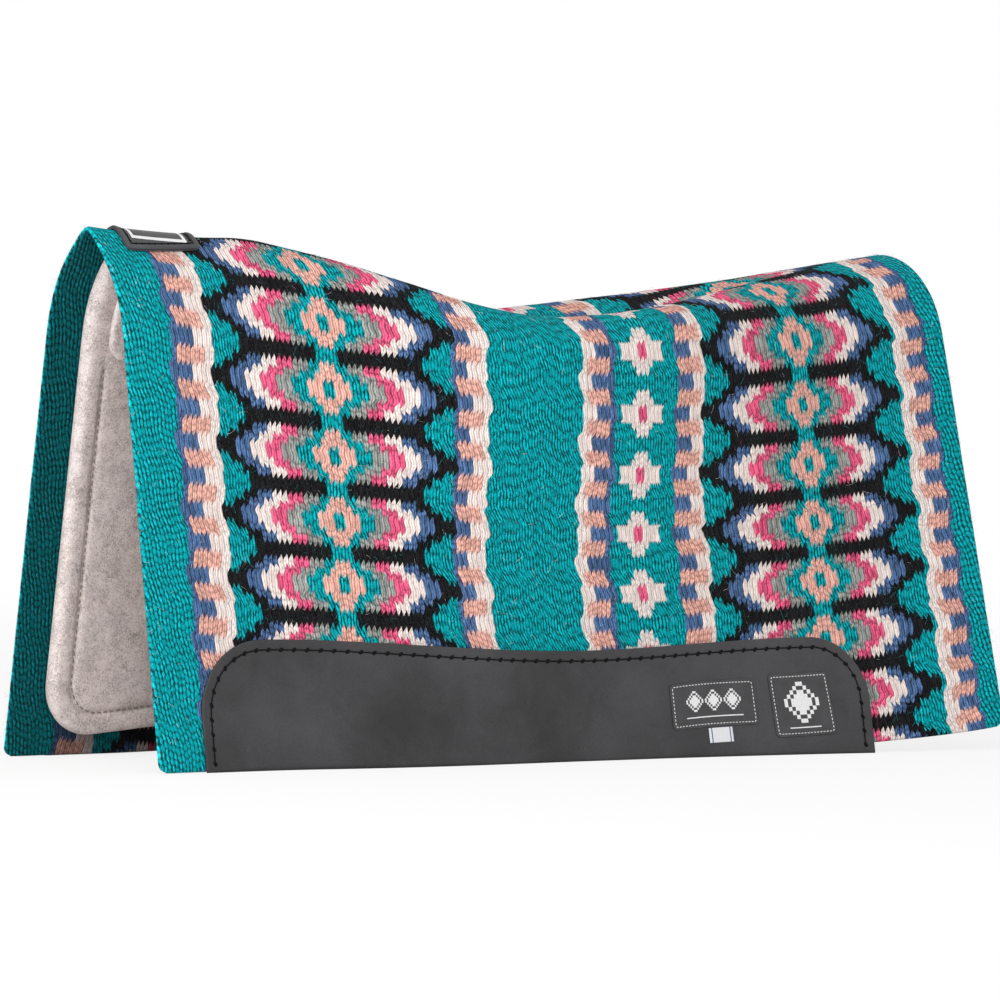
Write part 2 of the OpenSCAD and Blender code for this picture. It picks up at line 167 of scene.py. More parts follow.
class PadLeather(bpy.types.PropertyGroup):
    """Wear leathers, wither patch, labels and tag."""
    gap: length("Gap", "Room between blanket and leather", 0.6)
    thick: length("Thickness", "Thickness of the wear leather", 2.5)
    gap_front: length("Gap, wither end", "From the blanket's wither end to the wear leather", 46)
    gap_rear: length("Gap, loin end", "From the blanket's loin end to the wear leather", 135)
    up: length("Height", "Height of the wear leather under the seat", 95.5)
    rise: length("Rise, wither end", "How much taller it is towards the wither end", 16)
    rise_rear: length("Rise, loin end", "How much taller it is towards the loin end", 7.5)
    corner_front: length("Corner, wither end", "Radius of its upper corner at the wither end", 65)
    corner_rear: length("Corner, loin end", "Radius of its upper corner at the loin end", 55)
    stitch_in: length("Stitch inset", "Distance from the leather's edge to its stitching", 9)
    patch_gap: length("Patch gap", "From the blanket's wither end to the patch", 26)
    patch_length: length("Patch length", "Length of the wither patch", 80)
    patch_half: length("Patch half width", "Half width of the patch at its wither end", 30)
    patch_half_rear: length("Patch half width, rear", "Half width of the patch at its loin end", 22)
    patch_thick: length("Patch thickness", "Thickness of the patch", 1.8)
    patch_corner: length("Patch corner", "Radius of the patch's corners", 6)
    rim: length("Rim", "Width of the raised rim", 5)
    rim_high: length("Rim height", "Height of the raised rim", 1.2)
    label_thick: length("Label thickness", "Thickness of the labels", 0.8)
    hide: colour("Hide", "Black wear leather", "363537")
    rim_hide: colour("Rim", "Bevelled rim leather", "4b4b4e")
    label: colour("Label", "Label leather", "3a3a3c")
    tag: colour("Tag", "White woven tape", "f1f1f3")
    thread: colour("Black thread", "Waxed thread of the leathers", "0b0b0c")
    white: colour("White", "Thread and print of the labels", "ebebeb")


class PadStage(bpy.types.PropertyGroup):
    """Floor, lights and camera."""
    floor: colour("Floor", "Colour of the floor", "f6f6f5")
    sky: FloatProperty(name="Sky", description="Strength of the even light", default=0.66, min=0, max=3)
    key: FloatProperty(name="Key", description="Power of the main lamp in watts", default=28, min=0, max=2000)
    fill: FloatProperty(name="Fill", description="Power of the lamp at the wither end in watts", default=34,
                        min=0, max=2000)


# ---------------------------------------------------------------- the surface that every piece follows

def smooth(t):
    """Rises from 0 to 1 as t goes from 0 to 1, level at both ends: t squared times (3 - 2t)."""
    t = np.clip(t, 0, 1)
    return t * t * (3 - 2 * t)


def nip(t, r):
    """How far a corner of radius r cuts into a side, at distance t from the end."""
    u = np.clip(r - t, 0, r)
    return r - np.sqrt(np.maximum(0, r * r - u * u))


class Form:
    """The blanket's outer face. A point is given by x along the spine, s along the section from the
    spine (negative on the near side) and d outwards. The section is a ridge or a dipped seat between
    two shoulders, then a crown that is an arc of a circle, then a straight flap."""

    def __init__(self, p):
        self.p, self.h = p, p.half

    def fore(self, x):
        h = self.h
        return smooth((0.093 * h - x) / (0.973 * h))

    def aft(self, x):
        h = self.h
        return smooth((x - 0.144 * h) / (0.701 * h))

    def blend3(self, x, a, b, c):
        return b + (a - b) * self.fore(x) + (c - b) * self.aft(x)

    def ridge(self, x):
        p, h = self.p, self.h
        climb = lambda v: smooth((v + 0.06 * h) / (1.405 * h))
        return (p.ridge_mid
                + (p.ridge_front - p.wither_rise - p.ridge_mid) * smooth((0.023 * h - x) / (0.69 * h))
                + p.wither_rise * (np.maximum(0, -x - 0.579 * h) / (0.421 * h)) ** 2
                + (p.ridge_rear - p.ridge_mid) * climb(x) / climb(h))

    def crown(self, x):
        return self.blend3(x, self.p.crown_front, self.p.crown_mid, self.p.crown_rear)

    def slope0(self, x):
        return self.p.gable * self.fore(x)

    def seat(self, x):
        h = self.h
        return smooth((x + 0.745 * h) / (0.838 * h)) * (1 - self.aft(x))

    def steep(self, x):
        p, h = self.p, self.h
        return np.pi / 2 - (p.splay_mid
                            + (p.splay_front - p.splay_mid) * smooth((0.046 * h - x) / (0.646 * h))
                            + (p.splay_rear - p.splay_mid) * smooth((x - 0.14 * h) / (0.86 * h)))

    def flap_start(self, x):
        return self.p.seat_half * self.seat(x) + self.crown(x) * (self.steep(x) - self.slope0(x))

    def flap_z(self, x):
        return self.ridge(x) - self.crown(x) * (np.cos(self.slope0(x)) - np.cos(self.steep(x)))

    def section(self, x, s):
        """y and z of the face. Seat: a cosine dip plus a cubic that leaves at the gable's slope.
        Crown: arc of a circle. Flap: straight."""
        p, a = self.p, np.abs(s)
        sh = p.seat_half * self.seat(x)
        safe = np.maximum(sh, 1e-9)
        q = np.minimum(a / safe, 1)
        s0, r, st, start = self.slope0(x), self.crown(x), self.steep(x), self.flap_start(x)
        slope = np.minimum(st, s0 + (a - sh) / r)
        over = np.maximum(0, a - start)
        y_in, z_in = a, self.ridge(x) - p.valley * self.seat(x) * (1 + np.cos(np.pi * q)) / 2 \
            + np.tan(s0) * safe * q * q * (1 - q)
        y_out = sh + r * (np.sin(slope) - np.sin(s0)) + over * np.cos(st)
        z_out = self.ridge(x) - r * (np.cos(s0) - np.cos(slope)) - over * np.sin(st)
        inner = a < sh
        return np.sign(s) * np.where(inner, y_in, y_out), np.where(inner, z_in, z_out)

    def face(self, x, s):
        """The section softened by a weighted mean over five places 6 mm apart, so the ridge is round. A
        bell-shaped rise gives back the height that this takes from the gable's peak."""
        y = z = 0
        for k, w in ((-2, 1), (-1, 2), (0, 3), (1, 2), (2, 1)):
            yk, zk = self.section(x, s + k * 6 * MM)
            y, z = y + w * yk / 9, z + w * zk / 9
        peaked = np.exp(-(self.p.seat_half * self.seat(x) / (10 * MM)) ** 2)
        loss = 48 * MM / 9 * np.sin(self.slope0(x)) * peaked
        return y, z + loss * np.exp(-(s / (17 * MM)) ** 2)

    def at(self, x, s, d=0.0):
        """Points of the face moved out by d along its normal in the section, as an array ending in 3."""
        x, s, d = np.broadcast_arrays(*(np.asarray(v, float) for v in (x, s, d)))
        y, z = self.face(x, s)
        (y1, z1), (y0, z0) = self.face(x, s + 4e-4), self.face(x, s - 4e-4)
        ty, tz = y1 - y0, z1 - z0
        n = np.hypot(ty, tz)
        return np.stack([x, y - d * tz / n, z + d * ty / n], -1)

    def frame_at(self, x, s, d=0.0):
        """Point, along-x tangent, along-s tangent and outward normal of the face at x, s, d."""
        e = 5e-4
        p = self.at(x, s, d)
        tx = self.at(x + e, s, d) - self.at(x - e, s, d)
        ts = self.at(x, s + e, d) - self.at(x, s - e, d)
        tx /= np.linalg.norm(tx, axis=-1, keepdims=True)
        ts /= np.linalg.norm(ts, axis=-1, keepdims=True)
        n = np.cross(tx, ts)
        return p, tx, ts, n / np.linalg.norm(n, axis=-1, keepdims=True)

    def reach(self, x, z, d=0.0):
        """The section distance at which the flap is at height z."""
        st = self.steep(x)
        return self.flap_start(x) + (self.flap_z(x) + d * np.cos(st) - z) / np.sin(st)

    def hem(self, x):
        p = self.p
        z = p.hem_mid + (p.hem_front - p.hem_mid) * smooth(-x / self.h) \
            + (p.hem_rear - p.hem_mid) * np.maximum(0, x / self.h) ** 3
        return self.reach(x, z)


def ripple(x, s, seed, wave, high):
    """A gentle unevenness: the sum of five sine waves in seeded directions, of about that wavelength."""
    rng = np.random.default_rng(seed)
    total = 0.0
    for _ in range(5):
        a, k, ph = rng.uniform(0, 2 * np.pi), 2 * np.pi / (wave * rng.uniform(0.7, 1.5)), rng.uniform(0, 7)
        total = total + np.sin(k * (x * np.cos(a) + s * np.sin(a)) + ph)
    return total * high / 5


def inset(a, b, r):
    """How far inside an outline a point is that lies a in from one side and b in from the next, where
    a corner of radius r joins the two: the usual distance to a rounded box."""
    return r - np.hypot(np.maximum(r - a, 0), np.maximum(r - b, 0)) - np.minimum(np.maximum(r - a, r - b), 0)


def rounded(e, r):
    """Rises from 0 to 1 along a quarter circle as e goes from 0 to r."""
    return np.sqrt(np.clip(1 - (1 - np.minimum(e / r, 1)) ** 2, 0, 1))


# ---------------------------------------------------------------- meshes

def spread(a, b, step, fine):
    """Stations from a to b about a step apart, with the fine distances from each end as well."""
    fine = np.asarray(fine)
    n = max(2, int(round((b - a - 2 * fine[-1]) / step)))
    middle = np.linspace(a + fine[-1], b - fine[-1], n + 1)
    return np.concatenate([a + fine[:-1], middle, b - fine[:-1][::-1]])


def publish(name, verts, faces, material, uv=None, smooth_faces=True):
    """Makes an object at the origin from an array of points and a list of arrays of faces. uv gives a
    pair for each point."""
    mesh = bpy.data.meshes.new(name)
    mesh.from_pydata(verts.tolist(), [], [face for group in faces for face in group.tolist()])
    mesh.polygons.foreach_set("use_smooth", np.full(len(mesh.polygons), smooth_faces))
    if uv is not None:
        loops = np.zeros(len(mesh.loops), int)
        mesh.loops.foreach_get("vertex_index", loops)
        layer = mesh.uv_layers.new(name="surface")
        layer.data.foreach_set("uv", np.ascontiguousarray(uv[loops], np.float32).ravel())
    mesh.materials.append(material)
    mesh.update()
    obj = bpy.data.objects.new(name, mesh)
    bpy.context.scene.collection.objects.link(obj)
    return obj


def shell(name, top, low, material, uv=None):
    """A closed sheet from two grids of points, its upper and lower faces, that share their outermost
    ring. The grids' first index runs along x and their second towards positive s."""
    n, m = top.shape[:2]
    upper = np.arange(n * m).reshape(n, m)
    core = np.zeros((n, m), bool)
    core[1:-1, 1:-1] = True
    lower = upper.copy()
    lower[core] = n * m + np.arange(core.sum())
    quads = lambda g: np.stack([g[:-1, :-1], g[1:, :-1], g[1:, 1:], g[:-1, 1:]], -1).reshape(-1, 4)
    verts = np.concatenate([top.reshape(-1, 3), low[core]])
    pairs = None if uv is None else np.concatenate([uv.reshape(-1, 2), uv[core]])
    return publish(name, verts, [quads(upper), quads(lower)[:, ::-1]], material, pairs)


def beads(name, centre, along, across, out, size, material, rings=3, sides=6):
    """One small closed spindle for each centre: half lengths in size along, across and out, ring radii
    from the sine of the angle along it. A few dozen faces each."""
    t = np.linspace(0, np.pi, rings + 2)[1:-1]
    a = np.linspace(0, 2 * np.pi, sides, endpoint=False)
    plump = np.sin(t)[:, None] ** 0.7
    ring = np.stack(np.broadcast_arrays(-np.cos(t)[:, None], plump * np.cos(a), plump * np.sin(a)), -1)
    unit = np.concatenate([[[-1, 0, 0]], ring.reshape(-1, 3), [[1, 0, 0]]])
    size = np.broadcast_to(size, (len(centre), 3))
    points = centre[:, None] + sum(unit[None, :, i, None] * size[:, None, i, None] * axis[:, None]
                                   for i, axis in enumerate((along, across, out)))
    k = np.arange(sides)
    beyond = (k + 1) % sides
    quads = np.concatenate([np.stack([r + k, r + beyond, r + sides + beyond, r + sides + k], 1)
                            for r in 1 + sides * np.arange(rings - 1)])
    base, last = 1 + (rings - 1) * sides, len(unit) - 1
    caps = np.concatenate([np.stack([0 * k, 1 + beyond, 1 + k], 1),
                           np.stack([0 * k + last, base + k, base + beyond], 1)])
    faces = copies((quads[:, ::-1], caps[:, ::-1]), len(centre), len(unit))
    return publish(name, points.reshape(-1, 3), faces, material)


def copies(faces, count, points):
    """The arrays of faces of one small body, repeated for count bodies of so many points each."""
    step = (np.arange(count) * points)[:, None, None]
    return [(group[None] + step).reshape(-1, group.shape[1]) for group in faces]


def walk(path, pitch, closed=False):
    """Middles of equal stretches of about the pitch along a path of x, s pairs, with its direction there."""
    if closed:
        path = np.concatenate([path, path[:1]])
    run = np.concatenate([[0], np.cumsum(np.hypot(*np.diff(path, axis=0).T))])
    n = max(1, int(round(run[-1] / pitch)))
    at = (np.arange(n) + 0.5) * run[-1] / n
    mid = np.stack([np.interp(at, run, path[:, i]) for i in (0, 1)], 1)
    e = min(pitch * 0.3, 1.5 * MM)
    ahead, back = (np.stack([np.interp(np.clip(at + v, 0, run[-1]), run, path[:, i]) for i in (0, 1)], 1)
                   for v in (e, -e))
    d = ahead - back
    return mid, d / np.hypot(*d.T)[:, None]


def sew(name, form, paths, d, pitch, size, material, closed=False, knot=None, slant=0.0):
    """Stitches along paths of x, s pairs on the form: a spindle for each, that lies on the surface.
    With knot, a stouter one turned by slant fills the hole between each stitch and the next."""
    step = pitch / 2 if knot else pitch
    mid, way = (np.concatenate(v) for v in zip(*(walk(path, step, closed) for path in paths)))
    hole = (np.arange(len(mid)) % 2 == 0) & (knot is not None)
    p, tx, ts, n = form.frame_at(mid[:, 0], mid[:, 1], d)
    along = tx * way[:, :1] + ts * way[:, 1:]
    along /= np.linalg.norm(along, axis=1, keepdims=True)
    side = np.cross(n, along)
    turn = np.where(hole, slant, 0.0)[:, None]
    turned = along * np.cos(turn) + side * np.sin(turn)
    half = np.where(hole[:, None], np.array(knot or size) / 2, np.array(size) / 2)
    return beads(name, p, turned, np.cross(n, turned), n, half, material)


def arc(cx, cy, r, a0, a1, n):
    """Points of an arc as x, s pairs, angles in degrees."""
    a = np.radians(np.linspace(a0, a1, n))
    return np.stack([cx + r * np.cos(a), cy + r * np.sin(a)], 1)


# ---------------------------------------------------------------- materials

class Out:
    """The output of a shader node. Sums written with it, such as a * b + c, add the nodes that do them."""

    def __init__(self, tree, socket):
        self.tree, self.socket = tree, socket

    def do(self, operation, *others):
        return add(self.tree, "Math", self, *others, operation=operation)

    def __add__(self, other):
        return self.do("ADD", other)

    def __sub__(self, other):
        return self.do("SUBTRACT", other)

    def __rsub__(self, other):
        return add(self.tree, "Math", other, self, operation="SUBTRACT")

    def __mul__(self, other):
        return self.do("MULTIPLY", other)

    def __truediv__(self, other):
        return self.do("DIVIDE", other)

    def __mod__(self, other):
        return self.do("FLOORED_MODULO", other)

    def __lt__(self, other):
        return self.do("LESS_THAN", other)

    def __gt__(self, other):
        return self.do("GREATER_THAN", other)

    def __abs__(self):
        return self.do("ABSOLUTE")


def feed(tree, socket, value):
    """Links an output to a socket, or sets the socket to a plain value. None leaves it as it is."""
    if isinstance(value, Out):
        tree.links.new(value.socket, socket)
    elif value is not None:
        socket.default_value = value


def add(tree, kind, *inputs, out=0, **settings):
    """Adds a shader node of that kind. Settings are set by name. Each input is a value for the socket
    in that place, or an output to link to it, or None. Returns one output, or the node where out is
    None."""
    node = tree.nodes.new("ShaderNode" + kind)
    for key, value in settings.items():
        setattr(node, key, value)
    for socket, value in zip(node.inputs, inputs):
        feed(tree, socket, value)
    return node if out is None else Out(tree, node.outputs[out])


def parts(vector):
    """The x, y and z of a vector."""
    node = add(vector.tree, "SeparateXYZ", vector, out=None)
    return [Out(vector.tree, socket) for socket in node.outputs]


def noise(vector, scale, detail, rough, swirl=0.0, out=0, **settings):
    """Noise over a vector, bent by swirl: a number, or a colour where out is 1."""
    return add(vector.tree, "TexNoise", vector, None, scale, detail, rough, 2.0, None, None, swirl,
               out=out, **settings)


def chance(a, b, c):
    """A random number from 0 to 1 that is the same wherever a, b and c are the same."""
    return add(a.tree, "TexWhiteNoise", add(a.tree, "CombineXYZ", a, b, c), noise_dimensions="3D")


def remap(value, low, high, to_low, to_high):
    """A number carried from one range into another, and held at its ends."""
    return add(value.tree, "MapRange", value, low, high, to_low, to_high)


def mix(share, a, b):
    """a where share is 0 and b where it is 1, for numbers."""
    return add(share.tree, "Mix", share, None, a, b, data_type="FLOAT")


def tint(share, a, b):
    """a where share is 0 and b where it is 1, for colours."""
    return add(share.tree, "Mix", share, *[None] * 5, a, b, data_type="RGBA", out=2)


def scaled(vector, factor):
    """A vector or colour times a number that comes from a node."""
    return add(factor.tree, "VectorMath", vector, factor, operation="MULTIPLY")


def ramp(value, stops, hard=True):
    """A colour ramp, with stops given as place and linear colour, or as place and grey."""
    node = add(value.tree, "ValToRGB", value, out=None)
    colours = node.color_ramp
    colours.interpolation = "CONSTANT" if hard else "LINEAR"
    while len(colours.elements) > 1:
        colours.elements.remove(colours.elements[-1])
    for i, (place, shade) in enumerate(stops):
        stop = colours.elements[0] if i == 0 else colours.elements.new(place)
        stop.position = place
        stop.color = shade if hasattr(shade, "__len__") else (shade, shade, shade, 1)
    return Out(value.tree, node.outputs[0])


def material(name):
    """An empty node material, its tree, and the place on the object as an output."""
    made = bpy.data.materials.new(name)
    made.use_nodes = True
    tree = made.node_tree
    tree.nodes.clear()
    return made, tree, add(tree, "TexCoord", out=3)


def on_face(tree):
    """The place on a piece's UV map, in metres."""
    return add(tree, "UVMap", uv_map="surface")


def in_mm(tree):
    """The place on a piece's UV map as x and y in millimetres."""
    thousand = (1000.0, 1000.0, 1000.0)
    return parts(add(tree, "VectorMath", on_face(tree), thousand, operation="MULTIPLY"))[:2]


def finish(tree, base, rough, height, distance, strength=1.0, **constants):
    """Joins colour, roughness and a bump from height in metres to a Principled shader. Constants are
    set on the shader's own sockets."""
    bump = add(tree, "Bump", out=None)
    for key, value in {"Strength": strength, "Distance": distance, "Height": height}.items():
        feed(tree, bump.inputs[key], value)
    shader = add(tree, "BsdfPrincipled", out=None)
    values = {"Base Color": base, "Roughness": rough, "Normal": Out(tree, bump.outputs[0]), **constants}
    for key, value in values.items():
        feed(tree, shader.inputs[key.replace("_", " ")], value)
    add(tree, "OutputMaterial", Out(tree, shader.outputs[0]), out=None)


class Stitches:
    """The grid of the weave. For each point of the wool it knows the stitch that the point lies in and
    the place in that stitch. Even rows have stitches at whole steps, odd rows at half steps, and the
    nearer middle wins."""

    def __init__(self, tree, place, pitch):
        across, rows, _ = parts(on_face(tree))
        # yarns wander a little and lean to and fro
        drift = parts(noise(place, 30.0, 3.0, 0.6, out=1))
        self.across = (drift[0] - 0.5) * (3.5 * MM) + across
        self.rows = (drift[1] - 0.5) * 0.12 + rows
        upright = self.rows * 4.0
        sway = (upright * (2 * math.pi)).do("SINE") * (drift[2] - 0.62)
        u = sway * 0.75 + self.across / pitch
        # the plain borders have shorter, leaning stitches
        self.border = (across < -388 * MM).do("MAXIMUM", across > 392 * MM)
        q = mix(self.border, upright, u * 0.3 + upright * 1.5)
        middles = (((u + 0.5).do("SNAP", 1.0), (q + 1.0).do("SNAP", 2.0)),
                   (u.do("SNAP", 1.0) + 0.5, q.do("SNAP", 2.0) + 1.0))
        away = [abs(u - cu) * 0.8 + abs(q - cq) for cu, cq in middles]
        self.odd = away[1] < away[0]
        self.cu, self.cq = (mix(self.odd, *pair) for pair in zip(*middles))
        self.u, self.f, self.g = u, u - self.cu, q - self.cq
        self.middle = self.cu * pitch
        # rows of the repeat, counted from a figure's middle: 0 there, 1 beside it, 2 at the bar
        self.turn = abs(self.cq % 4.0 - 2.0)
        self.central = self.turn < 0.5
        # the same with pointed steps, which split the rows beside the middle in two
        self.steps = (abs(self.f) - 0.25) * 0.6 + abs(q % 4.0 - 2.0)


def eye_figures(w, grid, off):
    """Ringed eyes. off is the distance from their column; each half row has its own rings."""
    reach = 120
    share = off / (reach * MM)
    order = (w.peach, w.teal, w.grey, w.pink, w.cream, w.blue, w.black, w.teal)
    rings = lambda pairs: ramp(share, [(mm / reach, dye) for mm, dye in pairs])
    central = rings([(0, w.teal), *zip((3.75, 20.5, 33.7, 48.5, 63.3, 77.5, 92, 108.7), order)])
    inner = rings(zip((0, 10.5, 24, 38.5, 53, 67.5, 82, 98), order))
    outer = rings(zip((0, 5.6, 18, 31, 45.5, 59.5, 73.5, 89), order))
    bar = rings([(0, w.teal), (8.4, w.black), (79, w.teal)])
    return tint(grid.odd, tint(grid.central, bar, central), tint(grid.steps > 0.95, inner, outer))


def stripes(w, grid):
    """The stripes' colours, and 1 where they are. Each starts at its first number in mm, and goes on
    to the last: even rows change colour once, odd rows go through peach."""
    reach = 440
    place = (grid.middle + reach * MM) / (2 * reach * MM)
    even, odd, within = [(0, w.teal)], [(0, w.teal)], [(0, 0.0)]
    for start, change, to_peach, from_peach, end, one, two in (
            (-386, 21, 5, 34.5, 40.5, w.blue, w.cream), (-129.5, 16.5, 4, 28, 34.5, w.blue, w.cream),
            (-2, 15, 4, 28, 33, w.cream, w.blue), (100.5, 17, 4, 31, 36, w.blue, w.cream),
            (357.5, 15.5, 4, 29.5, 33, w.cream, w.blue)):
        first, second, third, fourth, last = ((start + mm + reach) / (2 * reach)
                                              for mm in (0, change, to_peach, from_peach, end))
        even += [(first, one), (second, two), (last, w.teal)]
        odd += [(first, one), (third, w.peach), (fourth, two), (last, w.teal)]
        within += [(first, 1.0), (last, 0.0)]
    return tint(grid.odd, ramp(place, even), ramp(place, odd)), ramp(place, within)


def figures(w, grid):
    """The colour of each stitch, picked by where its middle lies."""
    off = abs(grid.middle + 49.5 * w.pitch).do("MINIMUM", abs(grid.middle - 51.5 * w.pitch))
    # small diamonds: wide in the middle row, then narrower in two steps, pink at the heart
    beside = abs(grid.middle - 13.5 * w.pitch)
    level = mix(grid.odd, grid.turn, grid.steps)
    half = ramp(level * 0.5, [(0, 0.24), (0.25, 0.137), (0.475, 0.063), (0.75, 0.0)])
    heart = grid.central * (beside < 5.2 * MM) * (1.0 - grid.odd)
    ground = tint(heart, tint(beside < half * (100 * MM), w.teal, w.cream), w.pink)
    base = tint(off < 110 * MM, ground, eye_figures(w, grid, off))
    colours, within = stripes(w, grid)
    return tint(within, base, colours)


def dome(v):
    """1 where v is 0, and 0 where v is a half to either side."""
    return v * v * -4.0 + 1.0


def strands(grid):
    """Height of the figured stitches, and a random number for each seed. A stitch is round across and
    ends in a point at top and bottom. Its two strands, each 2.4 mm wide, are broken into seeds: one to
    a row where rows are even, about two and a half elsewhere."""
    ends = (abs(grid.g) * 1.40).do("POWER", 4.0)
    strand = dome((grid.f * 2.0).do("FRACT") - 0.5)
    number = (grid.u * 2.0).do("FLOOR")
    short = grid.odd.do("MAXIMUM", grid.border)
    run = grid.g * (short * 1.5 + 1.0) + chance(number, grid.cq, 0.0)
    seed = (1.0 - dome(run.do("FRACT") - 0.5)) * (short * 0.25 + 0.30)
    round_ = grid.f * grid.f * -3.4 + 1.0
    height = round_ * 0.45 + strand * 0.55 - seed - ends * 0.55
    return height, chance(number, grid.cq, run.do("FLOOR") + 0.37)


def dashes(place, grid):
    """Height of the plain teal, and a random number for each dash. It shows short dashes, split by
    dark slits of uneven depth. They lean in every other row of the ground, and are plumper, all
    leaning one way, in the borders."""
    wander = noise(place, 170.0, 3.0, 0.6, 1.0)
    down = grid.rows * mix(grid.border, 5.6, 9.2)
    bend = mix(grid.border, grid.g * (grid.odd * -1.7), down * -0.32)
    side = grid.across / mix(grid.border, 3.0 * MM, 3.8 * MM) + bend + wander * 0.9
    lane = side.do("FLOOR")
    down = down + (chance(lane, 0.0, 0.0) + wander)
    fs, fd = side - lane - 0.5, down.do("FRACT") - 0.5
    own = chance(lane, down.do("FLOOR"), 3.0)
    return fs * fs * (own * -5.2 - 1.2) + 0.95 - fd * fd * 2.3, own


def woven_wool(w):
    """Thick woven wool. Stitches 4.75 mm wide and a quarter of the repeat tall stand on end in rows,
    each row half a stitch over from the next, so rows meet in a zigzag. Each stitch has one colour:
    this is what gives the figures their stepped edges."""
    made, tree, place = material("woven wool, hand-loomed")
    grid = Stitches(tree, place, w.pitch)
    base = figures(w, grid)
    plain = add(tree, "VectorMath", base, w.teal[:3], operation="DISTANCE", out=1) < 0.02
    (body, own), (brick, own_brick) = strands(grid), dashes(place, grid)
    body = mix(plain, body, brick).do("MAXIMUM", 0.0)
    own = mix(plain, own, own_brick)
    # wool hairs, drawn out along the strand
    drawn = add(tree, "CombineXYZ", grid.across * 1300.0, grid.rows * 26.0, 0.0)
    hair = noise(drawn, 1.0, 4.0, 0.7, noise_dimensions="2D")
    fuzz = noise(place, 420.0, 4.0, 0.75, 2.5)
    # each stitch, strand and seed took the dye a little differently; the hollows get painted shade, which
    # pale wool, throwing light into its own hollows, shows less
    lot = chance(grid.cu, grid.cq, 0.5) * 0.16 + own * 0.62
    hollow_shade = remap(body, 0.05, 0.80, plain * -0.18 + 0.30, plain * 0.12 + 1.24)
    tone = remap(hair, 0.3, 0.7, 0.66, 1.34) * remap(fuzz, 0.3, 0.7, 0.72, 1.30)
    play = remap(add(tree, "RGBToBW", base), 0.15, 0.75, 1.15, 0.42)
    shade = (((lot + 0.66) * hollow_shade * tone - 1.0) * play + 1.0).do("MAXIMUM", 0.12)
    # painted shade: the underside is drawn 70 per cent darker, for the shade it lies in inside the flaps
    under = add(tree, "Attribute", attribute_name="under", out=2)
    base = scaled(base, shade * (under * -0.70 + 1.0))
    # painted highlights: a few pale light-teal glints scattered over the wool's fibres
    painted_glint = ramp(noise(place, 750.0, 3.0, 0.7, 1.5), [(0.0, 0.0), (0.58, 0.0), (0.74, 0.20)], hard=False)
    pale = [0.45 * c + 0.55 * t for c, t in zip(w.cream, w.teal)]
    finish(tree, tint(painted_glint, base, pale), 0.95, body + hair * 0.5 + fuzz * 0.5, 1.5 * MM, 0.9,
           Sheen_Weight=0.02, Sheen_Roughness=0.5, Specular_IOR_Level=0.03)
    return made


def pressed_felt(name, light, dark, seed):
    """Pressed wool felt: fibres a tenth of a millimetre thick lie in all directions, drawn about 1 mm
    coarse so that they show, over cloudy paler and darker wool 10 to 30 mm across, with kinked dark
    and pale hairs pressed into the face."""
    made, tree, place = material(name)
    moved = add(tree, "VectorMath", place, (seed * 0.37, seed * 0.11, seed * 0.23), operation="ADD")
    cloud = noise(moved, 60.0, 4.0, 0.65)
    fibre = noise(moved, 330.0, 4.0, 0.8, 1.6)
    speck = noise(moved, 850.0, 2.0, 0.6)
    mixed = cloud * 0.75 + fibre * 1.5 + speck * 0.75
    base = tint(remap(mixed, 1.03, 1.64, 0.0, 1.0), dark, light)
    warm = noise(add(tree, "VectorMath", moved, (0.3, 0.3, 0.3), operation="ADD"), 25.0, 2.0, 0.5)
    tan = add(tree, "VectorMath", base, (1.03, 0.98, 0.93), operation="MULTIPLY")
    base = tint(remap(warm, 0.35, 0.65, 0.0, 0.35), base, tan)
    finish(tree, base, 0.97, mixed, 1.6 * MM, 0.8, Sheen_Weight=0.1, Specular_IOR_Level=0.1)
    return made


def pebbles(place, grain_mm):
    """Height of leather grain: flat-topped pebbles about grain_mm across, with grooves between."""
    cells = add(place.tree, "TexVoronoi", place, None, 1000.0 / grain_mm, feature="DISTANCE_TO_EDGE")
    return cells.do("MINIMUM", 0.3)


def tanned_leather(name, base_colour, rough, grain_mm):
    """Smooth black cowhide, dyed through and oiled: fine pebbled grain, soft broad gloss, and faint
    clouds where it bent and was handled."""
    made, tree, place = material(name)
    pore = noise(place, 1600.0 / grain_mm, 3.0, 0.6)
    cloud = noise(place, 7.0, 3.0, 0.5)
    drag = noise(place, 32.0, 4.0, 0.6, 0.8)
    dust = noise(place, 700.0, 2.0, 0.7)
    tone = remap(cloud * 0.8 + drag * 0.2, 0.36, 0.64, 0.55, 1.45) * remap(dust, 0.3, 0.72, 0.84, 1.18)
    gloss = remap(tone, 0.7, 1.3, rough + 0.08, rough - 0.06)
    finish(tree, scaled(base_colour[:3], tone), gloss, pebbles(place, grain_mm) * 1.6 + pore * 0.5,
           0.18 * MM, 0.5, Specular_IOR_Level=0.38)
    return made


def spun_thread(name, thread_colour, rough, gloss=0.3):
    """Twisted sewing thread: a fine slanting twist, about three turns a millimetre drawn as one."""
    made, tree, place = material(name)
    twist = add(tree, "TexWave", place, 420.0, 2.5, 2.0, 3.0, wave_type="BANDS",
                bands_direction="DIAGONAL")
    base = scaled(thread_colour[:3], remap(twist, 0.0, 1.0, 0.72, 1.15))
    finish(tree, base, rough, twist, 0.15 * MM, 0.6, Specular_IOR_Level=gloss)
    return made


def stray_wool(w):
    """Single loose wool hairs in the colours of the yarns, mostly the ground's teal."""
    made, tree, place = material("loose wool hair")
    lot = add(tree, "Attribute", attribute_name="dye", out=2)
    dyes = [(0.0, w.teal), (0.60, w.cream), (0.80, w.black), (0.92, w.blue), (0.97, w.pink)]
    vary = noise(place, 300.0, 2.0, 0.5)
    base = scaled(ramp(lot, dyes), remap(vary, 0.3, 0.7, 0.8, 1.3))
    finish(tree, base, 0.9, vary, 0.05 * MM, 0.3, Sheen_Weight=0.3)
    return made


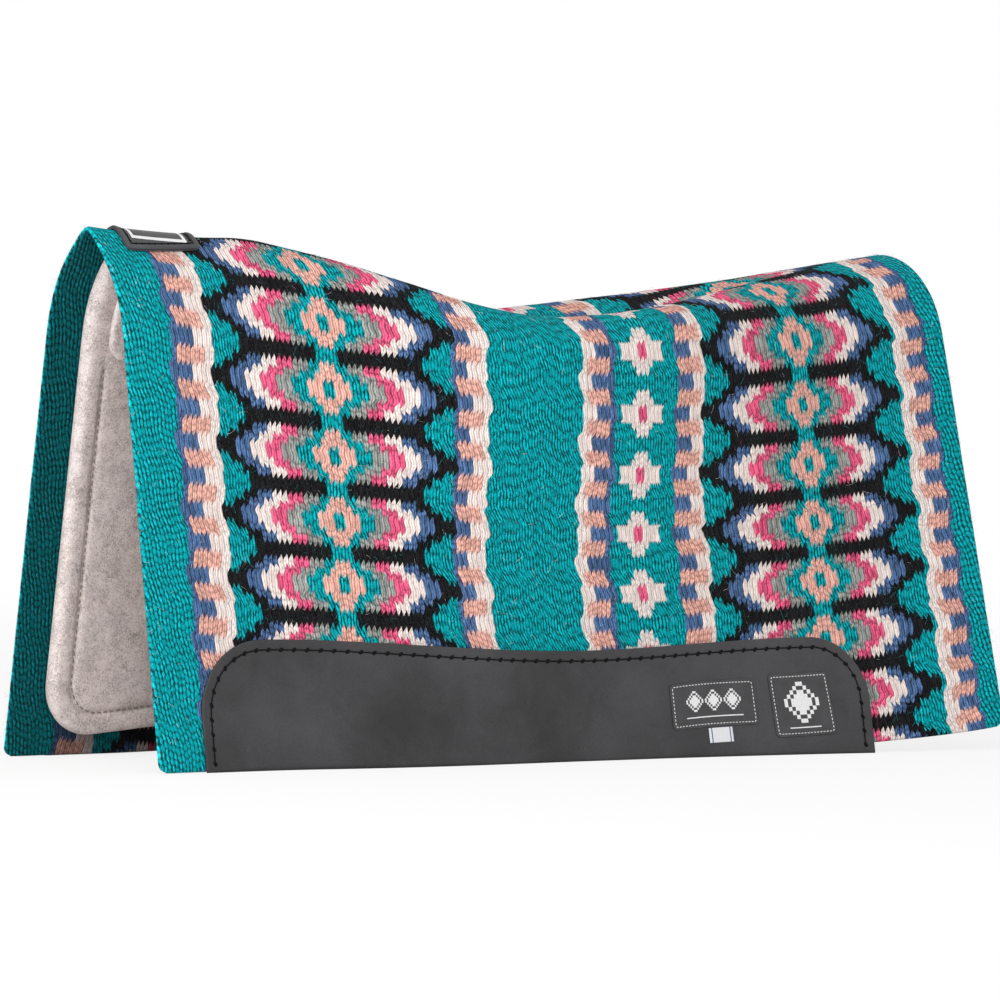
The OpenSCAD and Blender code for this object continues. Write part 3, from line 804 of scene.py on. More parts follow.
def stepped(dx, dy, half):
    """Distance from a stepped diamond's middle: 0 there, 1 at its points, in five steps."""
    return dx.do("SNAP", half / 5) / half + dy.do("SNAP", half / 5) / half


def ornament(x, y, diamonds=(), rule=None, frame=None):
    """1 where the generic ornament is, else 0, for a place x, y in mm. diamonds are stepped, each as
    x, y, half width, ring width; rule is a line as y, half length, half width; frame is a plain
    outlined box as half width, half height, half line width."""
    marks = []
    if frame:
        half_wide, half_high, half_line = frame
        marks.append(abs((abs(x) - half_wide).do("MAXIMUM", abs(y) - half_high)) < half_line)
    for cx, cy, half, ring in diamonds:
        far = stepped(abs(x - cx), abs(y - cy), half)
        marks.append((far < 0.95) - (far < 0.95 - ring) + (far < 0.95 - 2 * ring))
    if rule:
        height, half_long, half_line = rule
        marks.append((abs(y - height) < half_line) * (abs(x) < half_long))
    total = marks[0]
    for mark in marks[1:]:
        total = total.do("MAXIMUM", mark)
    return total


def printed_leather(name, leather, white, **marks):
    """Fine black label leather with a white foil print of plain shapes, placed by its UV map."""
    made, tree, place = material(name)
    mark = ornament(*in_mm(tree), **marks)
    cloud = noise(place, 60.0, 3.0, 0.6)
    worn = remap(noise(place, 900.0, 3.0, 0.7), 0.3, 0.42, 0.55, 1.0)
    base = scaled(leather[:3], remap(cloud, 0.3, 0.7, 0.8, 1.25))
    finish(tree, tint(mark * worn, base, white), 0.42, pebbles(place, 0.625) - mark * 0.25,
           0.2 * MM, 0.5, Specular_IOR_Level=0.45)
    return made


def woven_tape(name, white, blue):
    """White polyester tape, woven with ribs 0.9 mm apart, and a thin slate-blue line near each end."""
    made, tree, _ = material(name)
    x, y = in_mm(tree)
    line = abs(abs(x) - 9.6) < 0.55
    cloth = (x * 7.0).do("SINE") * (y * 9.0).do("SINE")
    base = scaled(tint(line, white, blue), remap(cloth, -1.0, 1.0, 0.90, 1.0))
    finish(tree, base, 0.7, cloth, 0.15 * MM, 0.5, Sheen_Weight=0.1)
    return made


def seen(tree):
    """1 for rays that the camera sees straight or by a reflection, else 0."""
    path = add(tree, "LightPath", out=None)
    camera, glossy, through = (Out(tree, path.outputs["Is " + word + " Ray"])
                               for word in ("Camera", "Glossy", "Transmission"))
    return camera.do("MAXIMUM", glossy).do("MAXIMUM", through)


# ---------------------------------------------------------------- pieces

def sided(which, s):
    """Section distances on one side, in rising order."""
    return s if which == FAR else -s[:, ::-1]


def both_sides(a):
    """Section distances from one hem over the spine to the other, given those on one side."""
    return np.concatenate([-a[:, ::-1], 0 * a[:, :1], a], 1)


class PAD_OT_blanket(bpy.types.Operator):
    """Weaves the wool top: one closed sheet over the whole pad, with its figures laid out on its UV map"""
    bl_idname = "pad.blanket"
    bl_label = "Woven Blanket"

    def execute(self, context):
        p, w = context.scene.pad_form, context.scene.pad_weave
        form = Form(p)
        h = p.half
        fine = np.array([0, 0.2, 0.8, 1.6, 2.6]) * MM
        xs = spread(-h, h, 5 * MM, fine)
        hem = form.hem(xs) - nip(h - np.abs(xs), p.hem_corner)
        part = np.linspace(0, 1, 97)
        a = np.concatenate([part[None, 1:] * (hem[:, None] - fine[-1]), hem[:, None] - fine[-2::-1]], 1)
        s = both_sides(a)
        x = np.broadcast_to(xs[:, None], s.shape)
        e = inset(h - np.abs(x), form.hem(x) - np.abs(s), p.hem_corner)
        r = p.thick / 2
        plump = r * rounded(e, r)
        loose = ripple(x, np.abs(s), 3, 0.16, 0.5 * MM) + ripple(x, s, 4, 0.05, 0.25 * MM)
        top = form.at(x, s, -r + plump + loose)
        low = form.at(x, s, -r - plump + loose)
        blanket = shell("woven_blanket", top, low, woven_wool(w), self.figures(form, x, s))
        z = form.ridge(0.0)
        flat = (2 * h, 2 * float(form.hem(np.array([0.0]))[0]))
        # marks the lower face, which the wool's material draws darker as painted shade
        low_points = np.arange(len(blanket.data.vertices)) >= x.size
        under = blanket.data.attributes.new("under", "FLOAT", "POINT")
        under.data.foreach_set("value", low_points.astype(np.float32))
        nap = self.nap(form, w, h)
        for piece in (blanket, nap):
            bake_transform(piece)
        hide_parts("woven_top")
        return {"FINISHED"}

    @staticmethod
    def figures(form, x, s):
        """The weave's own coordinates: across, in metres, with the columns of figures at fixed places,
        and rows, counted in repeats of four rows of stitches, 53 to 58 mm tall. Rows bow gently along
        the pad; the columns lean a little under the seat and swing out at each figure. Below, X is the
        place along the spine in mm, and v the distance below the ridge in mm, where the floor is 483."""
        X, below, flap = x / MM, np.abs(s), 483 * MM
        v = (below + (flap - form.reach(x, 0)) * smooth(below / (120 * MM))) / MM
        bow = np.where(X < 66, -0.105 * (np.hypot(66 - X, 150) - 150), -0.00027 * (X - 66) ** 2)
        early = np.interp(X, [-366, -300, -260, -215, -165, -110, 20, 117, 200, 340, 390, 432],
                          [-10, -7.5, -3.5, 1, 0, -6.5, -4, -13, -13, -13, 4, 6])
        late = np.where(X < 385, 3.3 * smooth((v - 230) / 120), 9 * smooth((v - 385) / 75))
        tall = 53 + 5.3 * smooth((100 - X) / 470)
        rows = (v - 263 - bow - early * smooth((170 - v) / 140) + late) / tall
        low = np.interp(X, [-110, 20, 66, 137], [300, 297, 290, 245])
        lean = (5.5 - 10 * np.exp(-((v - low) / 72) ** 2)) * smooth((X + 235) / 90) * smooth((215 - X) / 100)
        swing = np.interp(X, [-432, -384, -345, -290, -180, -125, -90, -45, 0, 35, 66, 96, 132, 190, 330,
                              375, 412, 432],
                          [-.3, -1, -1, 0, 0, 1, 1, 0, 1, 1, 0, -1, -1, 0, 0, 1, 1, .3])
        X = X - lean + 2.3 * swing * np.cos(2 * np.pi * rows)
        across = np.interp(X, [-450, -124.5, 137, 260.5, 371, 374.5, 407.5, 450],
                           [-450, -124.5, 137, 244.6, 354, 358, 391, 430])
        return np.stack([across * MM, rows], -1)

    @staticmethod
    def nap(form, w, h):
        """Loose hairs: thin three-sided tubes that leave the wool, arch over and come down again."""
        rng = np.random.default_rng(7)
        n = w.fibres
        x = rng.uniform(-h + 2 * MM, h - 2 * MM, n)
        s = rng.uniform(-1, 1, n) * (form.hem(x) - 4 * MM)
        on_edge = rng.random(n) < 0.06
        x = np.where(on_edge, np.sign(x) * (h - 0.6 * MM), x)
        p, tx, ts, out = (v[:, None] for v in form.frame_at(x, s, -0.3 * MM))
        turn = rng.uniform(0, 2 * np.pi, n)[:, None, None]
        along = tx * np.cos(turn) + ts * np.sin(turn)
        side = np.cross(out, along)
        size = rng.gamma(4, 1.3 * MM, n).clip(2 * MM, 12 * MM)
        size = np.where(on_edge, np.minimum(size, 5 * MM), size)[:, None, None]
        lift = rng.uniform(0.3, 1.5, n)[:, None, None] * MM
        curl = rng.normal(0, 0.3, n)[:, None, None]
        t = np.linspace(0, 1, 5)[:, None]
        spine = p + along * size * t + side * size * curl * t * t + out * lift * 4 * t * (1 - 0.75 * t)
        thick = (0.085 * MM * (1 - 0.6 * t))[..., None]
        turns = np.radians([0, 120, 240])[:, None]
        ring = (side[:, None] * np.cos(turns) + out[:, None] * np.sin(turns)) * thick
        verts = (spine[:, :, None] + ring).reshape(-1, 3)
        verts[:, 2] = np.maximum(verts[:, 2], 0.2 * MM)
        k, beyond = np.arange(3), np.array([1, 2, 0])
        quads = np.concatenate([np.stack([i + k, i + beyond, i + 3 + beyond, i + 3 + k], 1)
                                for i in (0, 3, 6, 9)])
        caps = np.array([[0, 2, 1], [12, 13, 14]])
        hairs = publish("wool_nap", verts, copies((quads, caps), n, 15), stray_wool(w), smooth_faces=False)
        dye = hairs.data.attributes.new("dye", "FLOAT", "POINT")
        dye.data.foreach_set("value", np.repeat(rng.random(n), 15).astype(np.float32))
        return hairs


class PAD_OT_liner(bpy.types.Operator):
    """Presses the felt liner halves, with a sewn channel in their edge, and the bars beside the spine"""
    bl_idname = "pad.liner"
    bl_label = "Felt Liner"

    def execute(self, context):
        p, f = context.scene.pad_form, context.scene.pad_felt
        form = Form(p)
        felt = pressed_felt("pressed wool felt", f.light, f.dark, 1)
        bar_felt = pressed_felt("pressed wool felt, bars", f.light, f.dark, 5)
        thread = spun_thread("grey bonded thread", f.thread, 0.7)
        out = -p.thick - f.gap
        for which in (NEAR, FAR):
            liner = self.half(form, f, which, out, felt)
            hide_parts("felt_liner_" + WORD[which])
            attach(liner, BODY[which])
            bar = self.bar(form, f, which, out - f.thick - f.gap, bar_felt)
            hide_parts("felt_bar_" + WORD[which])
            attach(bar, BODY[which])
            path = self.channel(form, f)
            path[:, 1] *= which
            rows = sew("liner_stitches_" + WORD[which], form, [path], out - f.thick + 1.2 * MM, 6.5 * MM,
                       (4.6 * MM, 1.3 * MM, 1.3 * MM), thread)
            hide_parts("liner_stitching_" + WORD[which])
            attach(rows, BODY[which])
        return {"FINISHED"}

    @staticmethod
    def channel(form, f):
        """The channel's line: the liner's outline moved in, open along the spine."""
        half = form.h - f.inset - f.channel
        r = f.corner - f.channel
        low = lambda x: PAD_OT_liner.low(form, f, x) - f.channel
        top = f.bar_reach + 8 * MM
        x = np.linspace(-half + r, half - r, 200)
        a = np.linspace(0, np.pi / 2, 12)
        return np.concatenate([
            np.stack([np.full(60, -half), np.linspace(top, low(-half) - r, 60)], 1),
            np.stack([-half + r * (1 - np.cos(a)), low(-half + r) - r * (1 - np.sin(a))], 1)[1:-1],
            np.stack([x, low(x)], 1),
            np.stack([half - r * (1 - np.sin(a)), low(half - r) - r * (1 - np.cos(a))], 1)[1:-1],
            np.stack([np.full(60, half), np.linspace(low(half) - r, top, 60)], 1)])

    @staticmethod
    def low(form, f, x):
        """The liner's lower edge, which arches up a little away from its corners."""
        return form.reach(x, f.drop) - f.arch * smooth((form.h - f.inset - np.abs(x)) / (150 * MM))

    @staticmethod
    def half(form, f, which, out, felt):
        """One liner half: a plate whose edge is rounded, crowned between edge and channel, and pinched
        along the channel."""
        half = form.h - f.inset
        fine = np.array([0, 0.4, 1.5, 3.2, 5.6, 8.5, 12, 15, 17.5, 19, 20, 21, 22.5, 25, 29]) * MM
        xs = spread(-half, half, 6 * MM, fine)
        low = PAD_OT_liner.low(form, f, xs)
        cut = nip(half - np.abs(xs), f.corner)
        part = np.linspace(0, 1, 66)[None]
        head = np.full_like(xs, f.gullet)[:, None] + fine[None, :5]
        end = (low - cut)[:, None] - fine[None, ::-1]
        between = head[:, -1:] + part[:, :-1] * (end[:, :1] - head[:, -1:])
        a = np.concatenate([head[:, :-1], between, end], 1)
        s = sided(which, a)
        x = np.broadcast_to(xs[:, None], s.shape)
        e = inset(half - np.abs(x), PAD_OT_liner.low(form, f, x) - np.abs(s), f.corner)
        edge = rounded(np.minimum(e, np.abs(s) - f.gullet), 6.5 * MM)
        r = f.thick / 2
        mid = out - r
        crowned = 0.7 * MM * np.sin(np.pi * np.clip(e / f.channel, 0, 1)) ** 2
        pinch = 2.6 * MM * np.exp(-((e - f.channel) / (2.2 * MM)) ** 2) * smooth(
            (np.abs(s) - f.bar_reach - 2 * MM) / (12 * MM))
        uneven = ripple(x, s, 11, 0.07, 0.5 * MM) + ripple(x, s, 12, 0.02, 0.25 * MM)
        inner = mid - (r + crowned) * edge + (pinch + uneven) * edge
        outer = mid + r * edge
        return shell("liner_pad_" + WORD[which], form.at(x, s, outer), form.at(x, s, inner), felt)

    @staticmethod
    def bar(form, f, which, out, felt):
        """One felt bar: a thinner plate beside the spine, its edges softly rounded."""
        half = form.h - f.bar_inset
        fine = np.array([0, 0.25, 1, 2.2, 3.8]) * MM
        xs = spread(-half, half, 6 * MM, fine)
        reach = lambda v: np.maximum(f.bar_reach, form.flap_start(v) + 8 * MM)
        end = reach(xs) - nip(half - np.abs(xs), f.bar_corner)
        part = np.linspace(0, 1, 22)[None]
        a = np.concatenate([f.gullet + fine[None, :-1] + 0 * end[:, None],
                            f.gullet + fine[-1] + part * (end[:, None] - f.gullet - 2 * fine[-1]),
                            end[:, None] - fine[None, -2::-1]], 1)
        s = sided(which, a)
        x = np.broadcast_to(xs[:, None], s.shape)
        rim = inset(half - np.abs(x), reach(x) - np.abs(s), f.bar_corner)
        edge = rounded(np.minimum(rim, np.abs(s) - f.gullet), 3.4 * MM)
        r = f.bar_thick / 2
        uneven = ripple(x, s, 13, 0.05, 0.3 * MM)
        return shell("bar_pad_" + WORD[which], form.at(x, s, out - r + r * edge),
                     form.at(x, s, out - r - (r - uneven) * edge), felt)


class PAD_OT_leathers(bpy.types.Operator):
    """Cuts the wear leathers and sews them to the lower edges of the pad"""
    bl_idname = "pad.leathers"
    bl_label = "Wear Leathers"

    def execute(self, context):
        p, c = context.scene.pad_form, context.scene.pad_leather
        form = Form(p)
        hide = tanned_leather("oiled black cowhide", c.hide, 0.50, 1.1)
        thread = spun_thread("waxed black thread", c.thread, 0.7, 0.12)
        x0, x1 = -form.h + c.gap_front, form.h - c.gap_rear
        edge = lambda x: (form.reach(x, 0) - c.up - c.rise * smooth(x / x0 * 1.2)
                          - c.rise_rear * smooth(x / x1 * 1.2))
        fine = np.array([0, 0.15, 0.5, 1.0, 1.7, 3, 5, 7.3, 8.3, 9, 9.7, 10.7, 12, 14]) * MM
        xs = spread(x0, x1, 4 * MM, fine)
        cut = nip(xs - x0, c.corner_front) + nip(x1 - xs, c.corner_rear)
        part = np.linspace(0, 1, 22)[None]
        head = (edge(xs) + cut)[:, None] + fine[None]
        q = c.stitch_in
        for which in (NEAR, FAR):
            layers = []
            for side in (1, -1):
                foot = form.reach(xs, 0, c.gap + (c.thick if side > 0 else 0))[:, None]
                a = np.concatenate([head[:, :-1], head[:, -1:] + part * (foot - head[:, -1:])], 1)
                s = sided(which, a)
                x = np.broadcast_to(xs[:, None], s.shape)
                u = np.abs(s) - edge(x)
                e = np.minimum(inset(x - x0, u, c.corner_front), inset(x1 - x, u, c.corner_rear))
                e = np.maximum(e, 0)
                pull = 0.55 * MM * np.exp(-((e - q) / (1.5 * MM)) ** 2)
                slack = ripple(x, s, 21, 0.12, 0.35 * MM) + ripple(x, s, 22, 0.045, 0.12 * MM)
                give = slack * smooth(e / (30 * MM)) - pull if side > 0 else 0
                layers.append(form.at(x, s, c.gap + c.thick / 2 * (1 + side * rounded(e, 1.3 * MM)) + give))
            top, low = layers
            j = -1 if which == FAR else 0
            flat = (top[:, j] + low[:, j]) / 2
            top[:, j] = low[:, j] = flat
            leather = shell("wear_hide_" + WORD[which], top, low, hide)
            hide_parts("wear_leather_" + WORD[which])
            x1 - x0
            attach(leather, BODY[which])
            path = self.line(form, c, x0, x1, edge)
            path[:, 1] *= which
            rows = sew("wear_stitches_" + WORD[which], form, [path], c.gap + c.thick - 0.1 * MM, 12.4 * MM,
                       (12.0 * MM, 1.1 * MM, 1.0 * MM), thread, knot=(5.2 * MM, 3.4 * MM, 2.0 * MM),
                       slant=0.6)
            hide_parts("wear_stitching_" + WORD[which])
            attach(rows, BODY[which])
        return {"FINISHED"}

    @staticmethod
    def line(form, c, x0, x1, edge):
        """The stitching line: the leather's outline moved in, open along the floor."""
        q, ra, rb = c.stitch_in, c.corner_front - c.stitch_in, c.corner_rear - c.stitch_in
        a, b = x0 + q, x1 - q
        t = np.linspace(0, np.pi / 2, 14)[1:-1]
        x = np.linspace(a + ra, b - rb, 240)
        xa, xb = a + ra * (1 - np.cos(t)), b - rb * (1 - np.sin(t))
        up_front = np.linspace(form.reach(a, 4 * MM), edge(a) + q + ra, 20)
        down_rear = np.linspace(edge(b) + q + rb, form.reach(b, 4 * MM), 20)
        return np.concatenate([
            np.stack([np.full(20, a), up_front], 1),
            np.stack([xa, edge(xa) + q + ra * (1 - np.sin(t))], 1),
            np.stack([x, edge(x) + q], 1),
            np.stack([xb, edge(xb) + q + rb * (1 - np.cos(t))], 1),
            np.stack([np.full(20, b), down_rear], 1)])


class PAD_OT_patch(bpy.types.Operator):
    """Makes the leather wither patch, with its raised rim, stitching and a plain printed ornament"""
    bl_idname = "pad.patch"
    bl_label = "Wither Patch"

    def execute(self, context):
        p, c = context.scene.pad_form, context.scene.pad_leather
        form = Form(p)
        x0 = -form.h + c.patch_gap
        x1 = x0 + c.patch_length
        wide = lambda x: c.patch_half + (c.patch_half_rear - c.patch_half) * (x - x0) / (x1 - x0)
        fine = np.array([0, 0.2, 0.7, 1.6]) * MM
        xs = spread(x0, x1, 2.5 * MM, fine)
        end = wide(xs) - nip(xs - x0, c.patch_corner) - nip(x1 - xs, c.patch_corner)
        a = np.concatenate([np.linspace(0, 1, 15)[None, 1:] * (end[:, None] - fine[-1]),
                            end[:, None] - fine[None, -2::-1]], 1)
        s = both_sides(a)
        x = np.broadcast_to(xs[:, None], s.shape)
        middle = (x0 + x1) / 2
        e = inset(c.patch_length / 2 - np.abs(x - middle), wide(x) - np.abs(s), c.patch_corner)
        r = c.patch_thick / 2
        plump = r * rounded(e, 0.9 * MM)
        leather = printed_leather("fine black leather, foil print", c.label, c.white,
                                  frame=(13.5, 27.0, 1.6))
        patch = shell("wither_hide", form.at(x, s, c.gap + r + plump), form.at(x, s, c.gap + r - plump),
                      leather, np.stack([s, x - middle], -1))
        rim = self.rim(form, c, x0, x1, wide)
        thread = spun_thread("waxed black thread, patch", c.thread, 0.7, 0.12)
        path = self.outline(c, x0, x1, wide, c.rim + 2.4 * MM)
        rows = sew("wither_stitches", form, [path], c.gap + c.patch_thick + 0.1 * MM, 7.0 * MM,
                   (6.4 * MM, 1.4 * MM, 1.2 * MM), thread, closed=True, knot=(3.0 * MM, 2.2 * MM, 1.5 * MM),
                   slant=0.5)
        z = form.ridge(middle)
        for piece, node, slot in ((patch, "wither_patch", "patch_leather"),
                                  (rim, "wither_rim", "rim_leather"),
                                  (rows, "wither_stitching", "black_thread")):
            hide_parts(node)
            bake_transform(piece)
        return {"FINISHED"}

    @staticmethod
    def outline(c, x0, x1, wide, q):
        """The patch's outline moved in by q, as a closed path of x, s pairs."""
        r = max(1 * MM, c.patch_corner - q)
        a, b = x0 + q, x1 - q
        w = lambda x: wide(x) - q
        t = np.linspace(0, np.pi / 2, 8)
        x = np.linspace(a + r, b - r, 30)
        half = np.concatenate([
            np.stack([np.full(9, a), np.linspace(0, w(a + r) - r, 10)[1:]], 1),
            np.stack([a + r * (1 - np.cos(t)), w(a + r) - r * (1 - np.sin(t))], 1)[1:-1],
            np.stack([x, w(x)], 1),
            np.stack([b - r * (1 - np.sin(t)), w(b - r) - r * (1 - np.cos(t))], 1)[1:-1],
            np.stack([np.full(9, b), np.linspace(w(b - r) - r, 0, 10)[:-1]], 1)])
        return np.concatenate([[[a, 0]], half, [[b, 0]], half[::-1] * [1, -1]])

    @classmethod
    def rim(cls, form, c, x0, x1, wide):
        """The raised rim: a low half-oval profile carried round the patch's outline."""
        path = cls.outline(c, x0, x1, wide, c.rim / 2 + 0.4 * MM)
        run = np.concatenate([path, path[:1]])
        dist = np.concatenate([[0], np.cumsum(np.hypot(*np.diff(run, axis=0).T))])
        at = np.linspace(0, dist[-1], 181)[:-1]
        mid = np.stack([np.interp(at, dist, run[:, i]) for i in (0, 1)], 1)
        way = np.roll(mid, -1, 0) - np.roll(mid, 1, 0)
        way /= np.hypot(*way.T)[:, None]
        t = np.linspace(0, np.pi, 9)
        foot = np.where(np.abs(np.cos(t)) > 0.98, 1, 0.96)
        across = np.concatenate([-np.cos(t) * foot, [0.5, -0.5]]) * c.rim / 2
        high = np.concatenate([np.sin(t) ** 0.6, [-0.05, -0.05]]) * c.rim_high
        high = high + c.gap + c.patch_thick + 0.3 * MM
        sx = mid[:, None, 0] - way[:, None, 1] * across[None]
        ss = mid[:, None, 1] + way[:, None, 0] * across[None]
        pts = form.at(sx, ss, np.broadcast_to(high[None], sx.shape))
        n, k = sx.shape
        g = np.arange(n * k).reshape(n, k)
        nx, nk = np.roll(g, -1, 0), np.roll(g, -1, 1)
        faces = np.stack([g, nx, np.roll(nx, -1, 1), nk], -1).reshape(-1, 4)
        leather = tanned_leather("grey-black leather, bevelled", c.rim_hide, 0.45, 0.8)
        return publish("wither_rim_hide", pts.reshape(-1, 3), [faces], leather)


class PAD_OT_labels(bpy.types.Operator):
    """Sews the two leather labels on each wear leather, and lays the small white tag on it too"""
    bl_idname = "pad.labels"
    bl_label = "Labels and Tag"

    def execute(self, context):
        p, c = context.scene.pad_form, context.scene.pad_leather
        form = Form(p)
        wide = printed_leather("fine black leather, wide label", c.label, c.white,
                               diamonds=[(x, 3.0, 9.0, 0.25) for x in (-20.0, 0.0, 20.0)],
                               rule=(-11.0, 30.0, 0.5))
        square = printed_leather("fine black leather, square label", c.label, c.white,
                                 diamonds=[(0.0, 2.0, 18.0, 0.2)], rule=(-20.0, 16.0, 0.5))
        tape = woven_tape("white polyester tape", c.tag, linear("4a5fa0"))
        thread = spun_thread("fine white thread", c.white, 0.6)
        base = c.gap + c.thick + 0.3 * MM
        for which in (NEAR, FAR):
            seams = []
            for word, x, up, size, mat, corner, node in (
                    ("wide_tab", 133.5, 46.5, (90, 40), wide, 3.5, "wide_label"),
                    ("square_tab", 226.0, 43.5, (62, 55), square, 3.5, "square_label"),
                    ("side_tape", 140.5, 19.0, (25, 13), tape, 0.4, "side_tag")):
                tag = word == "side_tape"
                at = (x * MM, up * MM, np.array(size) * MM)
                piece = self.plate(form, which, word, *at, corner * MM, base,
                                   0.6 * MM if tag else c.label_thick, mat)
                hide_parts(node + "_" + WORD[which])
                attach(piece, BODY[which])
                if tag:
                    np.array(size) * MM
                else:
                    seams.append(self.seam(form, *at) * [1, which])
            rows = sew("label_stitches_" + WORD[which], form, seams, base + c.label_thick + 0.1 * MM,
                       3.3 * MM, (2.4 * MM, 0.85 * MM, 0.6 * MM), thread, closed=True)
            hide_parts("label_stitching_" + WORD[which])
            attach(rows, BODY[which])
        return {"FINISHED"}

    @classmethod
    def seam(cls, form, cx, up, size):
        """A label's line of stitches, 2.6 mm in from its edge, as a closed path of x, s pairs."""
        r = 2.0 * MM
        hx, hy = size / 2 - 2.6 * MM - r
        loop = np.concatenate([arc(hx, hy, r, 0, 90, 5), arc(-hx, hy, r, 90, 180, 5),
                               arc(-hx, -hy, r, 180, 270, 5), arc(hx, -hy, r, 270, 360, 5)])
        return np.stack(cls.turned(form, cx, up, loop[:, 0], loop[:, 1]), 1)

    @staticmethod
    def turned(form, cx, up, along, below):
        """x and distance from the spine of points along and below a middle up above the floor, in a
        frame turned with the floor's line and 2 degrees more, as these labels were sewn on."""
        line = (form.reach(cx + 10 * MM, 0) - form.reach(cx - 10 * MM, 0)) / (20 * MM)
        turn = np.arctan(line) - np.radians(2)
        return (cx + along * np.cos(turn) - below * np.sin(turn),
                form.reach(cx, 0) - up + along * np.sin(turn) + below * np.cos(turn))

    @classmethod
    def plate(cls, form, which, word, cx, up, size, corner, base, thick, mat):
        """A thin plate with rounded corners and a softened edge, bent to the flap."""
        fine = np.array([0, 0.15, 0.45, 0.9]) * MM
        rows = spread(-size[0] / 2, size[0] / 2, 2.5 * MM, fine)
        half = size[1] / 2 - nip(size[0] / 2 - np.abs(rows), corner)
        t = spread(-1, 1, 0.12, fine / (size[1] / 2))
        v = half[:, None] * t[None]
        v = v if which == FAR else v[:, ::-1]
        a = np.broadcast_to(rows[:, None], v.shape)
        x, s = cls.turned(form, cx, up, a, v)
        s = s * which
        e = inset(size[0] / 2 - np.abs(a), size[1] / 2 - np.abs(v), corner)
        r = thick / 2
        plump = r * rounded(e, 0.5 * MM)
        return shell(word + "_" + WORD[which], form.at(x, s, base + r + plump),
                     form.at(x, s, base + r - plump), mat, np.stack([a * -which, -v], -1))


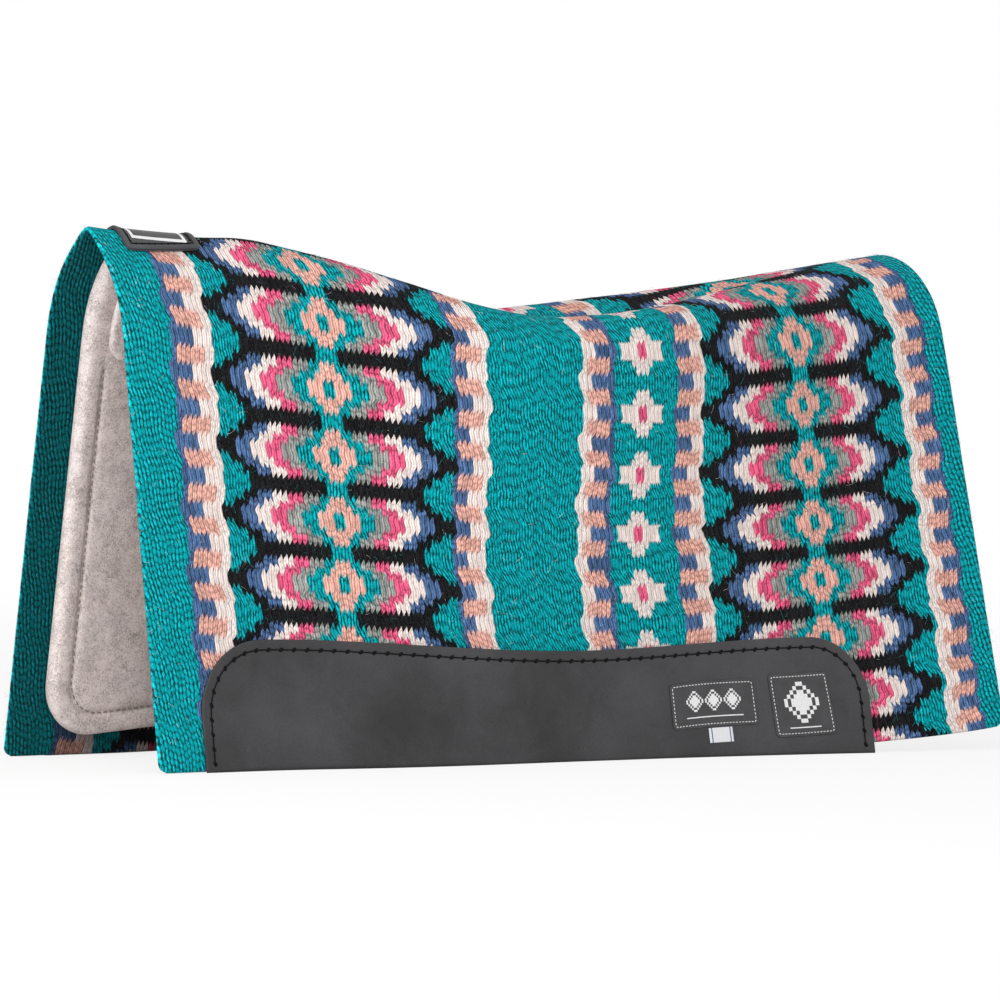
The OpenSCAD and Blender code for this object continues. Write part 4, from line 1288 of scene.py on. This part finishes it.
class PAD_OT_stage(bpy.types.Operator):
    """Sets the pale floor, the soft lights and the camera"""
    bl_idname = "pad.stage"
    bl_label = "Floor, Lights and Camera"

    def execute(self, context):
        g = context.scene.pad_stage
        scene = context.scene
        scene.view_settings.view_transform = "Standard"
        self.floor(g)
        self.lights(scene, g)
        self.camera(scene)
        return {"FINISHED"}

    @staticmethod
    def floor(g):
        """A large plain sheet: pale where the camera sees it lit, and it keeps the pad's shadow."""
        made, tree, place = material("pale painted board")
        base = scaled(g.floor[:3], remap(noise(place, 3.0, 3.0, 0.5), 0.3, 0.7, 0.995, 1.0))
        # white glow to the camera, growing to all of it far away, over the board that takes the shadow
        off = add(tree, "VectorMath", place, operation="LENGTH", out=1)
        far = add(tree, "MapRange", off, 0.9, 3.0, 0.80, 1.0, interpolation_type="SMOOTHSTEP")
        glow = add(tree, "Emission", (1, 1, 1, 1), 1.0)
        board = add(tree, "MixShader", far * seen(tree), add(tree, "BsdfDiffuse", base), glow)
        add(tree, "OutputMaterial", board, out=None)
        n = 9
        a = np.linspace(-14, 14, n)
        verts = np.stack([*np.meshgrid(a, a, indexing="ij"), np.zeros((n, n))], -1).reshape(-1, 3)
        grid = np.arange(n * n).reshape(n, n)
        faces = np.stack([grid[:-1, :-1], grid[1:, :-1], grid[1:, 1:], grid[:-1, 1:]], -1).reshape(-1, 4)
        publish("floor", verts, [faces], made)

    @staticmethod
    def lights(scene, g):
        """An even pale sky, white to the camera, a large soft key above the near side and a weaker lamp
        at the wither end."""
        world = bpy.data.worlds.new("even light")
        scene.world = world
        world.use_nodes = True
        tree = world.node_tree
        tree.nodes.clear()
        even, white = (add(tree, "Background", (1, 1, 1, 1), strength) for strength in (g.sky, 1.0))
        add(tree, "OutputWorld", add(tree, "MixShader", seen(tree), even, white), out=None)
        for name, place, aim, size, power in (
                ("key", (-1.8, -1.9, 1.6), (0, 0, 0.2), 1.6, g.key),
                ("fill", (-2.8, -0.6, 0.8), (-0.4, 0.1, 0.2), 1.6, g.fill)):
            lamp = bpy.data.lights.new(name, "AREA")
            lamp.size, lamp.energy = size, power
            obj = bpy.data.objects.new(name, lamp)
            obj.location = place
            obj.rotation_euler = (Vector(aim) - Vector(place)).to_track_quat("-Z", "Y").to_euler()
            scene.collection.objects.link(obj)

    @staticmethod
    def camera(scene):
        """A long lens, a little above the floor, looking from the near side of the wither end."""
        yaw, dip, roll = np.radians([36.36981, 2.36376, 0.72153])
        ahead = np.array([np.sin(yaw) * np.cos(dip), np.cos(yaw) * np.cos(dip), -np.sin(dip)])
        right = np.array([np.cos(yaw), -np.sin(yaw), 0])
        up = np.cross(right, ahead)
        r = np.cos(roll) * right + np.sin(roll) * up
        u = -np.sin(roll) * right + np.cos(roll) * up
        aim, distance, wide = np.array([7.4516, 0, 219.879]) * MM, 8.888989, 1 / 1.143073
        place = aim - ahead * distance
        lens = bpy.data.cameras.new("camera")
        lens.sensor_width, lens.clip_end = 36, 60
        lens.lens = lens.sensor_width * distance / wide
        cam = bpy.data.objects.new("camera", lens)
        cam.matrix_world = Matrix([[r[i], u[i], -ahead[i], place[i]] for i in range(3)] + [[0, 0, 0, 1]])
        scene.collection.objects.link(cam)
        scene.camera = cam


class PAD_PT_panel(bpy.types.Panel):
    """Lists the pieces of the saddle pad"""
    bl_label = "Saddle Pad"
    bl_idname = "PAD_PT_panel"
    bl_space_type = "VIEW_3D"
    bl_region_type = "UI"
    bl_category = "Saddle Pad"

    def draw(self, context):
        for op in OPERATORS:
            self.layout.operator(op.bl_idname)
        for name in ("pad_form", "pad_weave", "pad_felt", "pad_leather", "pad_stage"):
            group = getattr(context.scene, name)
            box = self.layout.box()
            for key in group.__annotations__:
                box.prop(group, key)


GROUPS = {"pad_form": PadForm, "pad_weave": PadWeave, "pad_felt": PadFelt, "pad_leather": PadLeather,
          "pad_stage": PadStage}
OPERATORS = (PAD_OT_blanket, PAD_OT_liner, PAD_OT_leathers, PAD_OT_patch, PAD_OT_labels, PAD_OT_stage)


def register():
    for cls in (*GROUPS.values(), *OPERATORS, PAD_PT_panel):
        bpy.utils.register_class(cls)
    for name, cls in GROUPS.items():
        setattr(bpy.types.Scene, name, PointerProperty(type=cls))


def unregister():
    for name in GROUPS:
        delattr(bpy.types.Scene, name)
    for cls in (PAD_PT_panel, *OPERATORS[::-1], *list(GROUPS.values())[::-1]):
        bpy.utils.unregister_class(cls)


def main():
    """Registers the add-on and builds every piece in order."""
    register()
    bpy.ops.pad.blanket()
    bpy.ops.pad.liner()
    bpy.ops.pad.leathers()
    bpy.ops.pad.patch()
    bpy.ops.pad.labels()
    bpy.ops.pad.stage()


if __name__ == "__main__":
    main()
